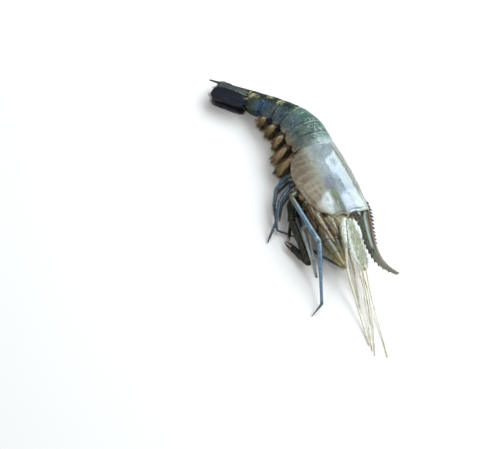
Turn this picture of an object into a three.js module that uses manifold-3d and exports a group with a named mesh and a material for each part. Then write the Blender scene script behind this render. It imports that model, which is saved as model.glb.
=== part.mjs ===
// A raw giant river prawn, whole and in its shell, lying on its left side with the right flank up.
// Millimetres, +Z up. The origin is on the surface that the prawn lies on, below the middle of its box.
//
// Two frames carry the pieces:
//   lying frame  +X towards the head, +Y towards the back, +Z up, floor at z = 0.
//   body frame   a station s along the spine (0 at the eyes' orbit, growing towards the tail), then
//                y towards the back and z towards the right flank, both rolled with the body.

import * as THREE from "three";
import { mergeVertices } from "three/addons/utils/BufferGeometryUtils.js";
import Module from "manifold-3d";

const wasm = await Module();
wasm.setup();

// ---------------------------------------------------------------- driving dimensions

const GAP = 0.3; // clearance between neighbouring pieces
const HEADING = -67; // degrees, the way the head points on the floor
const CARAPACE_LENGTH = 66; // orbit to rear margin
const SPINE_OFFSET = -5.5; // of the straight spine, from the line through the orbit
const MARGIN_ANGLE = 140; // degrees from the back round to a shell's lower margin
const LIP = 1.6; // thickness of a shell's lower margin
const RECESS = 4.5; // depth of the hollow between the two lower margins

// Shell sizes at stations along the carapace: height of the back, of the lower margin, half width.
const CARAPACE_BACK = [[0, 16.6], [12, 17.9], [30, 19.1], [50, 19.5], [66, 19]];
const CARAPACE_MARGIN = [
  [0, -11], [5, -16], [12, -20.5], [22, -24], [36, -25.6], [50, -25], [60, -21.5], [66, -16.5],
];
const CARAPACE_HALF_WIDTH = [[0, 8.4], [8, 11.8], [18, 15], [32, 17.6], [48, 17.8], [58, 16.6], [66, 15.2]];
const CARAPACE_WIDEST = -5; // height of the widest line
// How far the front margin lies behind the orbit: on the flank, and how much further at its lower corner.
const FRONT_SLANT = [4.8, 6];
const REAR_BULGE = 3; // how far the flank's rear margin lies behind the back's

// The six rings of the abdomen: length, bend against the ring in front, then back, margin and half width
// at the front end and at the rear end.
const SOMITES = [
  { length: 12, bend: 0, back: [18.9, 19.1], margin: [-15.2, -15.6], half: [14.4, 14.5] },
  { length: 12.5, bend: 4, back: [18.9, 18.7], margin: [-16.2, -16.0], half: [14.3, 13.8] },
  { length: 16, bend: 20, back: [18.2, 15.5], margin: [-14.6, -13.4], half: [13.3, 12.2] },
  { length: 12, bend: 11, back: [14.9, 13.5], margin: [-12.9, -11.6], half: [11.8, 10.8] },
  { length: 13, bend: 4, back: [13.2, 12.5], margin: [-11.0, -9.8], half: [10.4, 9.4] },
  { length: 18.5, bend: 2, back: [12.2, 11.2], margin: [-8.4, -7.4], half: [9.0, 7.2] },
];
const LOBE = 2.4; // how far each ring's flank hangs down between its neighbours
const RING_BULGE = 1.6; // how far a ring's flank reaches behind its back
const TELSON_LENGTH = 34; // to the start of its thin point

const ABDOMEN_LENGTH = SOMITES.reduce((sum, ring) => sum + ring.length, 0);
const TAIL = CARAPACE_LENGTH + ABDOMEN_LENGTH; // station of the tail fan's root

// How the body lies: height of the spine above the floor, and how far it is rolled towards its belly.
const SPINE_HEIGHT = [[-60, 18], [44, 18], [66, 15.8], [91, 14.2], [121, 11.6], [TAIL, 9.4], [200, 6.6]];
const SPINE_ROLL = [[-60, 16], [40, 16], [70, 14], [110, 11], [TAIL, 9], [200, 8]];

const ROSTRUM = {
  root: -24, // the crest starts on the carapace, behind the orbit
  length: 57, // orbit to tip
  halfThickness: 1.25,
  back: [
    [-24, 18.4], [-6, 17.4], [3, 16.3], [9, 14.6], [16, 12],
    [23, 9.9], [31, 8.1], [40, 7.9], [49, 9.9], [57, 14],
  ],
  belly: [[-24, 13], [-2, 9], [4, 5], [12, 3.4], [20, 1.9], [29, 1], [38, 1.5], [47, 4.2], [57, 11]],
  upperTeeth: { count: 12, from: -6, to: 27, height: 1.3 },
  lowerTeeth: { count: 9, from: 19, to: 52, height: 1 },
};

// ---------------------------------------------------------------- small helpers

const radians = THREE.MathUtils.degToRad;
const lerp = THREE.MathUtils.lerp;

// A smooth curve through [x, value] stops, level beyond the first and the last.
function along(stops, x) {
  const last = stops.length - 1;
  if (x <= stops[0][0]) return stops[0][1];
  if (x >= stops[last][0]) return stops[last][1];
  const i = stops.findIndex((stop) => stop[0] > x) - 1;
  const slope = (k) => {
    const before = stops[Math.max(k - 1, 0)];
    const after = stops[Math.min(k + 1, last)];
    return (after[1] - before[1]) / (after[0] - before[0]);
  };
  const width = stops[i + 1][0] - stops[i][0];
  const u = (x - stops[i][0]) / width;
  const h = u * u * (3 - 2 * u);
  return (
    lerp(stops[i][1], stops[i + 1][1], h) +
    width * u * (1 - u) * ((1 - u) * slope(i) - u * slope(i + 1))
  );
}

// One closed body with shared corners and its faces pointing out.
function closed(geometry) {
  const bare = new THREE.BufferGeometry().setAttribute("position", geometry.getAttribute("position"));
  bare.setIndex(geometry.index);
  const merged = mergeVertices(bare, 1e-4);
  const index = Array.from(merged.index.array);
  const kept = [];
  for (let i = 0; i < index.length; i += 3) {
    const [a, b, c] = index.slice(i, i + 3);
    if (a !== b && b !== c && c !== a) kept.push(a, b, c);
  }
  const at = merged.attributes.position.array;
  const corner = (k) => new THREE.Vector3(at[3 * k], at[3 * k + 1], at[3 * k + 2]);
  let volume = 0;
  for (let i = 0; i < kept.length; i += 3) {
    volume += corner(kept[i]).dot(corner(kept[i + 1]).cross(corner(kept[i + 2])));
  }
  if (volume < 0) {
    for (let i = 0; i < kept.length; i += 3) [kept[i + 1], kept[i + 2]] = [kept[i + 2], kept[i + 1]];
  }
  merged.setIndex(kept);
  return merged;
}

function toSolid(geometry) {
  return new wasm.Manifold(
    new wasm.Mesh({
      numProp: 3,
      vertProperties: geometry.attributes.position.array,
      triVerts: new Uint32Array(geometry.index.array),
    }),
  );
}

function toGeometry(solid) {
  const mesh = solid.getMesh();
  const geometry = new THREE.BufferGeometry();
  geometry.setAttribute("position", new THREE.BufferAttribute(mesh.vertProperties, 3));
  geometry.setIndex(new THREE.BufferAttribute(mesh.triVerts, 1));
  return geometry;
}

const fuse = (first, ...rest) =>
  toGeometry(rest.reduce((solid, next) => solid.add(toSolid(next)), toSolid(first)));

// Cuts the others away and keeps the largest piece left.
function cut(first, ...cutters) {
  const left = cutters.reduce((solid, next) => solid.subtract(toSolid(next)), toSolid(first));
  const pieces = left.decompose();
  return toGeometry(pieces.reduce((big, next) => (next.volume() > big.volume() ? next : big)));
}

// A cylinder whose rings are laid where place(t, angle, radius) says: t runs 0 to 1 along it, the angle
// goes round it, and the radius is 1 on the skin and 0 at the middle of an end.
function ringSolid(sides, rows, place) {
  const shape = closed(new THREE.CylinderGeometry(1, 1, 1, sides, rows));
  const at = shape.attributes.position;
  for (let i = 0; i < at.count; i += 1) {
    const [x, y, z] = [at.getX(i), at.getY(i), at.getZ(i)];
    const radius = Math.hypot(x, z) > 0.5 ? 1 : 0;
    const p = place(0.5 - y, Math.atan2(x, z), radius);
    at.setXYZ(i, p.x, p.y, p.z);
  }
  return closed(shape);
}

// ---------------------------------------------------------------- the spine

// Where each stretch of the spine starts, and which way it points there.
const STRETCHES = [{ start: 0, length: CARAPACE_LENGTH, turn: 0, x: 0, y: SPINE_OFFSET, angle: 0 }];
for (const ring of SOMITES) {
  const before = STRETCHES[STRETCHES.length - 1];
  const end = stretchPoint(before, before.length);
  STRETCHES.push({
    start: before.start + before.length,
    length: ring.length,
    turn: radians(ring.bend),
    x: end.x,
    y: end.y,
    angle: end.angle,
  });
}

// A point on an arc that runs towards the tail and curls towards the belly.
function stretchPoint(stretch, distance) {
  const angle = stretch.angle + (stretch.turn * distance) / stretch.length;
  const middle = (stretch.angle + angle) / 2;
  return {
    x: stretch.x - distance * Math.cos(middle),
    y: stretch.y - distance * Math.sin(middle),
    angle,
  };
}

// The point of the lying frame at station s, y towards the back and z towards the right flank.
function bodyPoint(s, y, z) {
  const stretch = STRETCHES.findLast((one) => one.start <= s) ?? STRETCHES[0];
  const past = Math.max(s - TAIL, 0);
  const on = stretchPoint(stretch, s - past - stretch.start);
  const roll = radians(along(SPINE_ROLL, s));
  const sideways = y * Math.cos(roll) - z * Math.sin(roll);
  return new THREE.Vector3(
    on.x - past * Math.cos(on.angle) - sideways * Math.sin(on.angle),
    on.y - past * Math.sin(on.angle) + sideways * Math.cos(on.angle),
    along(SPINE_HEIGHT, s) + y * Math.sin(roll) + z * Math.cos(roll),
  );
}

// A point of the head, x in front of the orbit.
const headPoint = (x, y, z) => bodyPoint(-x, y, z);

// ---------------------------------------------------------------- shells

// The outline of a shell at one station: over the back from margin to margin, then in and up round the
// hollow between the margins. The angle is 0 at the back and 180 degrees under the belly.
function shellOutline(angle, size, grow) {
  const side = Math.sign(angle) || 1;
  const turn = Math.abs(angle);
  const marginTurn = radians(MARGIN_ANGLE);
  const half = size.half + grow;
  const widest = size.widest;
  if (turn <= marginTurn + 1e-6) {
    const below = (widest - size.margin + grow) / -Math.cos(marginTurn);
    const reach = turn < Math.PI / 2 ? size.back + grow - widest : below;
    return {
      y: widest + reach * Math.cos(turn),
      z: side * half * Math.sin(turn) ** 0.92,
    };
  }
  const inner = half * Math.sin(marginTurn) ** 0.92 - LIP - 2 * grow;
  const u = (turn - marginTurn) / (Math.PI - marginTurn); // 0 at the margin, 1 under the middle
  const rise = Math.min(u * 2.5, 1) * size.recess;
  return {
    y: size.margin - grow + rise + 0.6 * Math.min(u, 1),
    z: side * inner * (1 - u) ** 0.8,
  };
}

// A shell from one station to the next. slip(angle) says how far its two ends lie towards the tail there.
function shell({ from, to, sizeAt, frontSlip, rearSlip, sides, rows, grow = 0 }) {
  return ringSolid(sides, rows, (t, angle, radius) => {
    const size = sizeAt(t);
    const slipAngle = radius ? angle : Math.PI / 2;
    const proud = radius ? grow : 2 * grow;
    const s = lerp(from - proud + frontSlip(slipAngle), to + proud + rearSlip(slipAngle), t);
    if (!radius) return bodyPoint(s, size.widest + 2, 0);
    const p = shellOutline(angle, size, grow);
    return bodyPoint(s, p.y, p.z);
  });
}

// Nothing at the back, all of it on the flanks and below.
const flankShare = (angle) => THREE.MathUtils.smoothstep(Math.abs(angle), radians(10), radians(95));
const frontSlant = (angle) =>
  FRONT_SLANT[0] * THREE.MathUtils.smoothstep(Math.abs(angle), radians(52), radians(88)) +
  FRONT_SLANT[1] * THREE.MathUtils.smoothstep(Math.abs(angle), radians(108), radians(138));

function carapaceShell(grow = 0) {
  const sizeAt = (t) => {
    const s = t * CARAPACE_LENGTH;
    return {
      back: along(CARAPACE_BACK, s),
      margin: along(CARAPACE_MARGIN, s),
      half: along(CARAPACE_HALF_WIDTH, s),
      widest: CARAPACE_WIDEST,
      recess: RECESS,
    };
  };
  return shell({
    from: 0,
    to: CARAPACE_LENGTH - GAP / 2,
    sizeAt,
    frontSlip: frontSlant,
    rearSlip: (angle) => REAR_BULGE * flankShare(angle),
    sides: 32,
    rows: 15,
    grow,
  });
}

// A blade in the prawn's middle plane, thickest along a ridge in the middle of each side.
function rostrumBlade() {
  return ringSolid(8, 22, (t, angle, radius) => {
    const x = lerp(ROSTRUM.root, ROSTRUM.length, t);
    const [low, high] = [along(ROSTRUM.belly, x) - 0.2, along(ROSTRUM.back, x) + 0.2];
    const thin = 1 - 0.6 * THREE.MathUtils.smoothstep(t, 0.7, 1);
    const y = (low + high) / 2 + (radius * (high - low) * Math.cos(angle)) / 2;
    return headPoint(x, y, radius * ROSTRUM.halfThickness * thin * Math.sin(angle));
  });
}

// Teeth that lean forward along one edge, spaced closer towards the tip.
function rostrumTeeth(edge, { count, from, to, height }, up) {
  return Array.from({ length: count }, (_, i) => {
    const share = i / (count - 1);
    const x = lerp(from, to, share);
    const tall = height * lerp(1.15, 0.8, share);
    const tooth = new THREE.ConeGeometry(tall * 0.62, tall * 2.4, 4);
    tooth.rotateZ(up ? radians(-52) : radians(-128));
    const sunk = up ? -0.25 : 0.25;
    return tooth.translate(x, along(edge, x) + sunk, 0);
  });
}

function rostrum() {
  const bend = (geometry) => {
    const flat = closed(geometry);
    const at = flat.attributes.position;
    for (let i = 0; i < at.count; i += 1) {
      const p = headPoint(at.getX(i), at.getY(i), at.getZ(i));
      at.setXYZ(i, p.x, p.y, p.z);
    }
    return closed(flat);
  };
  const teeth = [
    ...rostrumTeeth(ROSTRUM.back, ROSTRUM.upperTeeth, true),
    ...rostrumTeeth(ROSTRUM.belly, ROSTRUM.lowerTeeth, false),
  ];
  return fuse(rostrumBlade(), ...teeth.map(bend));
}

const ringSlip = (i) => (angle) => {
  if (i === 0) return REAR_BULGE * flankShare(angle);
  return i === SOMITES.length ? 0 : RING_BULGE * flankShare(angle);
};

function somiteShell(i, grow = 0) {
  const ring = SOMITES[i];
  const start = STRETCHES[i + 1].start;
  return shell({
    from: start + GAP / 2,
    to: start + ring.length - GAP / 2,
    sizeAt: (t) => ({
      back: lerp(...ring.back, t) - 0.35 * (1 - t) ** 2,
      margin: lerp(...ring.margin, t) + LOBE * (2 * t - 1) ** 2,
      half: lerp(...ring.half, t) - 0.35 * (1 - t) ** 2,
      widest: -2.5 * (1 - i / 8),
      recess: i === 5 ? 1.2 : 3.4,
    }),
    frontSlip: ringSlip(i),
    rearSlip: ringSlip(i + 1),
    sides: 26,
    rows: 4,
    grow,
  });
}

// ---------------------------------------------------------------- thorax, eyes and mouth

// The soft underside between the carapace's margins, and the face that the eyes and feelers leave.
function thoraxCore(grow = 0) {
  const underside = ringSolid(12, 8, (t, angle, radius) => {
    const s = lerp(-15 - grow, 62 + grow, t);
    const round = Math.sqrt(Math.max(1 - (2 * t - 1) ** 6, 0.05));
    const middle = along([[-15, -19.6], [0, -20.4], [20, -22.4], [44, -22.8], [62, -17.5]], s);
    const y = middle + radius * (6.2 * round + grow) * Math.cos(angle);
    return bodyPoint(s, y, radius * (9 * round + grow) * Math.sin(angle));
  });
  const face = ringSolid(10, 4, (t, angle, radius) => {
    const s = lerp(14, -7.5 - grow, t);
    const round = Math.sqrt(Math.max(1 - t ** 4, 0.12));
    const y = lerp(-6, -10, t) + radius * (12.2 * round + grow) * Math.cos(angle);
    return bodyPoint(s, y, radius * (7.4 * round + grow) * Math.sin(angle));
  });
  return fuse(underside, face);
}

// ---------------------------------------------------------------- tapered limbs

// A tapered round solid along a path. stops are the shares of its length where a ring lies, so that
// corners get more of them, and radiusAt(share) is its radius there.
function limb(path, stops, radiusAt, sides, flatten = 1) {
  const frames = 240;
  const frenet = path.computeFrenetFrames(frames, false);
  return ringSolid(sides, stops.length - 1, (t, angle, radius) => {
    const share = stops[Math.round(t * (stops.length - 1))];
    const centre = path.getPointAt(share);
    const frame = Math.round(share * frames);
    const r = radius * radiusAt(share);
    return centre
      .addScaledVector(frenet.normals[frame], r * Math.cos(angle))
      .addScaledVector(frenet.binormals[frame], r * flatten * Math.sin(angle));
  });
}

// One stretch of a leg between two joints, with rounded ends that reach past the joints.
function legStretch(from, to, fromRadius, toRadius) {
  const sides = Math.max(fromRadius, toRadius) > 1.8 ? 8 : 6;
  const length = from.distanceTo(to);
  const ahead = to.clone().sub(from).normalize();
  const level = new THREE.Vector3(0, 0, 1).cross(ahead).normalize();
  const upright = ahead.clone().cross(level);
  const rings = [
    [-0.7 * fromRadius, 0.62 * fromRadius],
    [0, fromRadius],
    [length, toRadius],
    [length + 0.7 * toRadius, 0.62 * toRadius],
  ];
  return ringSolid(sides, rings.length - 1, (t, angle, radius) => {
    const [distance, size] = rings[Math.round(t * (rings.length - 1))];
    return from
      .clone()
      .addScaledVector(ahead, distance)
      .addScaledVector(level, radius * size * Math.cos(angle))
      .addScaledVector(upright, radius * size * Math.sin(angle));
  });
}

// A leaf-shaped blade: root and tip, the direction of its width, and its sizes.
function leaf({ root, tip, across, halfWidth, halfThickness, outline, sides, rows, curl = 0 }) {
  const length = tip.clone().sub(root);
  const wide = across.clone().addScaledVector(length, -across.dot(length) / length.lengthSq()).normalize();
  const thick = length.clone().cross(wide).normalize();
  return ringSolid(sides, rows, (t, angle, radius) => {
    const w = radius * halfWidth * outline(t);
    const h = radius * halfThickness * lerp(1, 0.55, t);
    const bow = curl * Math.sin(Math.PI * t);
    return root
      .clone()
      .addScaledVector(length, t)
      .addScaledVector(wide, w * Math.cos(angle))
      .addScaledVector(thick, h * Math.sin(angle) + bow);
  });
}

const bladeOutline = (t) => along([[0, 0.5], [0.15, 0.85], [0.5, 1], [0.85, 0.85], [0.95, 0.6], [1, 0.3]], t);
const paddleOutline = (t) =>
  along([[0, 0.3], [0.2, 0.72], [0.55, 1], [0.85, 0.82], [0.95, 0.5], [1, 0.16]], t);
const telsonOutline = (t) => along([[0, 1], [0.4, 0.78], [0.8, 0.42], [1, 0.1]], t);
const lobeOutline = (t) => along([[0, 0.34], [0.35, 1], [0.7, 0.85], [1, 0.12]], t);

// ---------------------------------------------------------------- legs

// Each leg leaves the thorax at a station of the body and runs through its joints, which are given in the
// lying frame: x in front of the orbit, y towards the back, height, and the leg's radius there.
const LEGS = {
  right: [
    { hip: 13, claw: 5, joints: [[-9, -43.5, 14.5, 1.3], [31, -49.3, 9.2, 1], [0, -41, 12.5, 1.2]] },
    {
      hip: 32.2,
      claw: 9,
      joints: [
        [-35, -41.5, 11.2, 3.3],
        [-20, -47.5, 11.2, 3.1],
        [17.5, -49.6, 7.4, 2.5],
        [8, -51.8, 4.6, 3.1],
        [0, -55, 4.4, 2.6],
      ],
    },
    {
      hip: 40,
      joints: [[-37, -41, 19.6, 2.1], [9.3, -37.7, 21.5, 1.9], [51.5, -54, 5, 1.15], [56.4, -64.4, 1.5, 0.3]],
    },
    {
      hip: 48,
      joints: [
        [-47.5, -37, 14, 1.8],
        [-38.5, -50.5, 13.5, 1.5],
        [-25, -59, 8.6, 1.3],
        [-17, -68, 2.6, 0.9],
        [-14, -71, 1, 0.3],
      ],
    },
    {
      hip: 56,
      joints: [
        [-57, -35.5, 14, 1.8],
        [-51.4, -47.2, 11, 1.5],
        [-39.4, -54.3, 8.2, 1.4],
        [-20.2, -59.8, 3.2, 1],
        [-7, -45.4, 1.1, 0.5],
      ],
    },
  ],
  left: [
    { hip: 12, claw: 5, joints: [[-4, -32.5, 5, 1.4], [12, -31.5, 4, 1.2]] },
    { hip: 24, claw: 4.5, joints: [[-26, -37, 6.4, 1.7], [-25, -45.5, 6.2, 1.5], [-11.5, -53.2, 4.4, 1.3]] },
    {
      hip: 33,
      joints: [[-31, -38, 3.4, 1.5], [3, -43.5, 2.6, 1.2], [25, -28.3, 2, 0.8], [29.4, -24.6, 1, 0.3]],
    },
    {
      hip: 43,
      joints: [[-46, -36, 5, 1.5], [-38.5, -48, 5.2, 1.3], [-31, -52.5, 2.6, 0.9], [-28, -54, 1.2, 0.4]],
    },
    {
      hip: 53,
      joints: [[-56, -34, 5, 1.5], [-51, -46.5, 4.4, 1.3], [-40, -53.5, 2.8, 0.9], [-35, -56, 1.2, 0.4]],
    },
  ],
};

function legSolid({ hip, joints, claw = 0 }, side) {
  const points = [bodyPoint(hip, -25, side * 5.4), ...joints.map(([x, y, z]) => new THREE.Vector3(x, y, z))];
  const radii = [joints[0][3] * 1.25, ...joints.map((joint) => joint[3])];
  const stretches = points
    .slice(1)
    .map((point, i) => legStretch(points[i], point, radii[i], radii[i + 1]));
  const fingers = claw ? clawFingers(points, radii[radii.length - 1], claw) : [];
  return fuse(...stretches, ...fingers);
}

// Two pincer fingers that carry on from the end of a limb.
function clawFingers(points, radius, length) {
  const end = points[points.length - 1];
  const ahead = end.clone().sub(points[points.length - 2]).normalize();
  const apart = ahead.clone().cross(new THREE.Vector3(0, 0, 1)).normalize();
  return [-1, 1].map((side) => {
    const beyond = (distance, aside) =>
      end.clone().addScaledVector(ahead, distance).addScaledVector(apart, side * aside * radius);
    const from = beyond(-0.6 * radius, 0.48);
    const bulge = beyond(0.5 * length, 0.75);
    const tip = beyond(length, 0.22);
    const path = new THREE.QuadraticBezierCurve3(from, bulge, tip);
    return limb(path, [0, 0.35, 0.7, 1], (share) => radius * lerp(0.5, 0.12, share), 6);
  });
}

// ---------------------------------------------------------------- feelers

// A whip along points of the lying frame.
function whip(points, thick, thin, rings, sides = 6) {
  const path = new THREE.CatmullRomCurve3(points.map((p) => (p.isVector3 ? p : new THREE.Vector3(...p))));
  const stops = Array.from({ length: rings }, (_, i) => i / (rings - 1));
  return limb(path, stops, (share) => lerp(thick, thin, share), sides);
}

function antenna(side, tail) {
  const root = headPoint(-1, -4, side * 6);
  const base = headPoint(7, -8.4, side * 7.4);
  const end = headPoint(20, -12.4, side * 7.6);
  const stem = limb(
    new THREE.CatmullRomCurve3([root, base, end]),
    [0, 0.25, 0.5, 0.75, 1],
    (share) => along([[0, 2.6], [0.4, 3.2], [0.7, 2.6], [1, 1.7]], share),
    8,
  );
  return fuse(stem, whip([headPoint(17, -11.4, side * 7.6), ...tail], 1.3, 0.5, 12, 5));
}

function antennule(side, tails) {
  const root = headPoint(1, -1, side * 2.6);
  const base = headPoint(11, -0.4, side * 3);
  const end = headPoint(22, -2.2, side * 3.2);
  const stem = limb(
    new THREE.CatmullRomCurve3([root, base, end]),
    [0, 0.25, 0.5, 0.75, 1],
    (share) => along([[0, 1.9], [0.4, 2.1], [0.5, 1.8], [1, 1.4]], share),
    8,
  );
  const whips = tails.map((tail, i) => {
    const from = headPoint(21, -2.2 + 0.75 * (i - 1), side * (3.2 + 0.5 * (i - 1)));
    return whip([from, ...tail], 0.72, 0.4, tail.length > 2 ? 9 : 4, 5);
  });
  return fuse(stem, ...whips);
}

// The broad scale beside each feeler.
function antennalScale(side) {
  return leaf({
    root: headPoint(2, -1.2, side * 9.6),
    tip: headPoint(40.5, -8.6, side * 8),
    across: headPoint(0, 1, 0).sub(headPoint(0, 0, 0)),
    halfWidth: 5,
    halfThickness: 0.6,
    outline: paddleOutline,
    sides: 8,
    rows: 8,
  });
}

// The outermost mouthpart, a flattened limb that points forward.
function maxilliped(side) {
  return leaf({
    root: headPoint(-4, -22.5, side * 8.6),
    tip: headPoint(33.5, -21, side * 6.4),
    across: headPoint(0, 1, 0).sub(headPoint(0, 0, 0)),
    halfWidth: 4.6,
    halfThickness: 1.7,
    outline: (t) => along([[0, 0.4], [0.15, 0.8], [0.45, 1], [0.8, 0.55], [1, 0.12]], t),
    sides: 8,
    rows: 8,
  });
}

// Where each whip runs after it leaves its stem, in the lying frame.
const ANTENNA_TAILS = {
  right: [[37.7, -26.2, 15.5], [62, -29.2, 7], [80, -31.6, 2], [94.5, -33.4, 0.85]],
  left: [[33, -17.4, 3.6], [50, -22, 1.3], [69.4, -28.7, 0.85]],
};
const ANTENNULE_TAILS = {
  right: [
    [[36, -16.6, 16.5], [51.6, -19.3, 10.5], [69.5, -24.2, 4.4], [86, -29.4, 1.2], [99.4, -33.5, 0.6]],
    [[38, -15.8, 18.5], [46, -20.3, 15.5]],
    [[40.3, -13.9, 12], [58, -17.1, 6.6], [74, -21.5, 2.6], [90, -27.6, 1], [103.3, -33.3, 0.6]],
  ],
  left: [
    [[36, -12.6, 11.6], [50, -16.5, 6], [80, -24.6, 0.65]],
    [[32, -9.6, 13.6], [40, -11.6, 12.4]],
    [[37, -9.9, 12], [59, -15.2, 4.4], [92.5, -21.7, 0.9], [108.4, -25.1, 0.6]],
  ],
};

// ---------------------------------------------------------------- tail fan and swimming legs

function telson() {
  return ringSolid(8, 9, (t, angle, radius) => {
    const s = TAIL + GAP + t * (TELSON_LENGTH + 5 * t);
    const half = 3.7 * telsonOutline(t) + 0.2;
    const thick = lerp(2.3, 0.8, t);
    const y = lerp(8.8, 6.9, t) + radius * thick * Math.cos(angle);
    return bodyPoint(s, y, radius * half * Math.sin(angle));
  });
}

// The fan's side blades, folded down against each other: the outer one hangs below the inner one.
const FAN_BLADES = {
  outer: { root: [1.2, -4.6, 7.2], tip: [31, -4.2, 5.1], halfWidth: 7.2, halfThickness: 0.75, lean: 0.12 },
  inner: { root: [1.2, 2.7, 5], tip: [30, 3.5, 2.6], halfWidth: 5.05, halfThickness: 0.75, lean: 0.1 },
};

function fanBlade(blade, side) {
  const at = ([s, y, z]) => bodyPoint(TAIL + s, y, side * z);
  const root = at(blade.root);
  return leaf({
    root,
    tip: at(blade.tip),
    across: at([blade.root[0], blade.root[1] + 1, blade.root[2] - blade.lean]).sub(root),
    halfWidth: blade.halfWidth,
    halfThickness: blade.halfThickness,
    outline: bladeOutline,
    sides: 8,
    rows: 8,
  });
}

// Swimming legs under the first five rings: where each hangs, how far forward it leans, and its size.
const PLEOPODS = [
  { station: 73, depth: -12, reach: 24, lean: 9.5, halfWidth: 4.2 },
  { station: 84.5, depth: -12.5, reach: 23, lean: 8.5, halfWidth: 4.4 },
  { station: 98.5, depth: -10.5, reach: 18, lean: 6, halfWidth: 4.3 },
  { station: 113, depth: -9, reach: 13.5, lean: -4, halfWidth: 3.9 },
  { station: 126, depth: -7.5, reach: 9, lean: -3, halfWidth: 3.3 },
];

function pleopod({ station, depth, reach, lean, halfWidth }, side) {
  const root = bodyPoint(station, depth, side * 5.5);
  return leaf({
    root,
    tip: bodyPoint(station - lean, depth - reach, side * 5),
    across: bodyPoint(station - 1, depth, side * 5.5).sub(root),
    halfWidth,
    halfThickness: 1,
    outline: lobeOutline,
    sides: 8,
    rows: 6,
  });
}

// ---------------------------------------------------------------- the pieces

const FINISHES = {
  carapace: { color: 0x9a9c8e, roughness: 0.25, metalness: 0 },
  abdomen: { color: 0x5f7472, roughness: 0.3, metalness: 0 },
  tail: { color: 0x16202c, roughness: 0.3, metalness: 0 },
  flesh: { color: 0x6b5a3c, roughness: 0.5, metalness: 0 },
  leg: { color: 0x5f7f93, roughness: 0.35, metalness: 0 },
  darkLeg: { color: 0x38392c, roughness: 0.35, metalness: 0 },
  pleopod: { color: 0x6e5c3e, roughness: 0.4, metalness: 0 },
  feeler: { color: 0xc9c3ae, roughness: 0.4, metalness: 0 },
  eye: { color: 0x17141c, roughness: 0.1, metalness: 0 },
  scale: { color: 0xaab096, roughness: 0.3, metalness: 0 },
};

const lying = new THREE.Group();
lying.rotation.z = radians(HEADING);

function addPiece(name, geometry, finish) {
  const material = new THREE.MeshStandardMaterial(FINISHES[finish]);
  const mesh = new THREE.Mesh(restOnFloor(geometry), material);
  mesh.name = name;
  lying.add(mesh);
}

// What would sink into the floor is cut off flat.
function restOnFloor(geometry) {
  geometry.computeBoundingBox();
  if (geometry.boundingBox.min.z >= 0) return geometry;
  const floor = closed(new THREE.BoxGeometry(900, 900, 40).translate(0, 0, -20));
  return cut(geometry, floor);
}

const grownCarapace = carapaceShell(2.4 * GAP); // the shell's hollow front end needs the wider gap
const grownThorax = thoraxCore(GAP);

addPiece("carapace", fuse(carapaceShell(), rostrum()), "carapace");
addPiece("thorax", cut(thoraxCore(), grownCarapace), "flesh");
SOMITES.forEach((ring, i) => addPiece(`somite_${i + 1}`, somiteShell(i), "abdomen"));
addPiece("telson", telson(), "tail");
const grownRings = SOMITES.map((ring, i) => somiteShell(i, GAP));

for (const [name, side] of [["right", 1], ["left", -1]]) {
  const stalk = limb(
    new THREE.LineCurve3(headPoint(-1, 4.2, side * 4), headPoint(2.4, 5.6, side * 7.4)),
    [0, 1],
    (share) => lerp(1.5, 2.2, share),
    6,
  );
  const cornea = closed(new THREE.SphereGeometry(2.9, 9, 7));
  const eyeAt = headPoint(2.4, 6, side * 8.2);
  addPiece(`eye_${name}`, cut(fuse(stalk, cornea.translate(...eyeAt)), grownThorax, grownCarapace), "eye");

  addPiece(`antenna_${name}`, cut(antenna(side, ANTENNA_TAILS[name]), grownThorax, grownCarapace), "feeler");
  const smallFeelers = antennule(side, ANTENNULE_TAILS[name]);
  addPiece(`antennule_${name}`, cut(smallFeelers, grownThorax, grownCarapace), "feeler");

  addPiece(`antennal_scale_${name}`, cut(antennalScale(side), grownThorax, grownCarapace), "scale");
  addPiece(`maxilliped_${name}`, cut(maxilliped(side), grownThorax, grownCarapace), "flesh");

  Object.entries(FAN_BLADES).forEach(([kind, blade]) => {
    addPiece(`tail_blade_${kind}_${name}`, cut(fanBlade(blade, side), grownRings[5]), "tail");
  });
  PLEOPODS.forEach((leg, i) => {
    const solid = cut(pleopod(leg, side), ...grownRings.slice(i, i + 2), grownCarapace);
    addPiece(`pleopod_${name}_${i + 1}`, solid, "pleopod");
  });

  LEGS[name].forEach((leg, i) => {
    const solid = cut(legSolid(leg, side), grownThorax, grownCarapace);
    addPiece(`leg_${name}_${i + 1}`, solid, name === "right" && i === 2 ? "leg" : "darkLeg");
  });
}

const prawn = new THREE.Group();
prawn.add(lying);

// The origin goes on the floor below the middle of the box.
const box = new THREE.Box3().setFromObject(prawn, true);
const middle = box.getCenter(new THREE.Vector3());
lying.position.set(-middle.x, -middle.y, -box.min.z);

export default prawn;
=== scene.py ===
# A raw giant river prawn, whole and in its shell, lying on its left side with the right flank up.
#
# Two frames carry the pieces, both in millimetres:
#   lying frame  +X towards the head, +Y towards the back, +Z up, floor at z = 0.
#   body frame   a station s along the spine (0 at the eyes' orbit, growing towards the tail), then
#                y towards the back and z towards the right flank, both rolled with the body.
# The attribute "form" keeps, for each point of a skin, what its pattern follows: station, y and z in the
# body frame on the shells, and share along, share across and number of the stretch on blades and limbs.

import math
import random

import bpy
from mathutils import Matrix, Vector, noise


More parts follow.
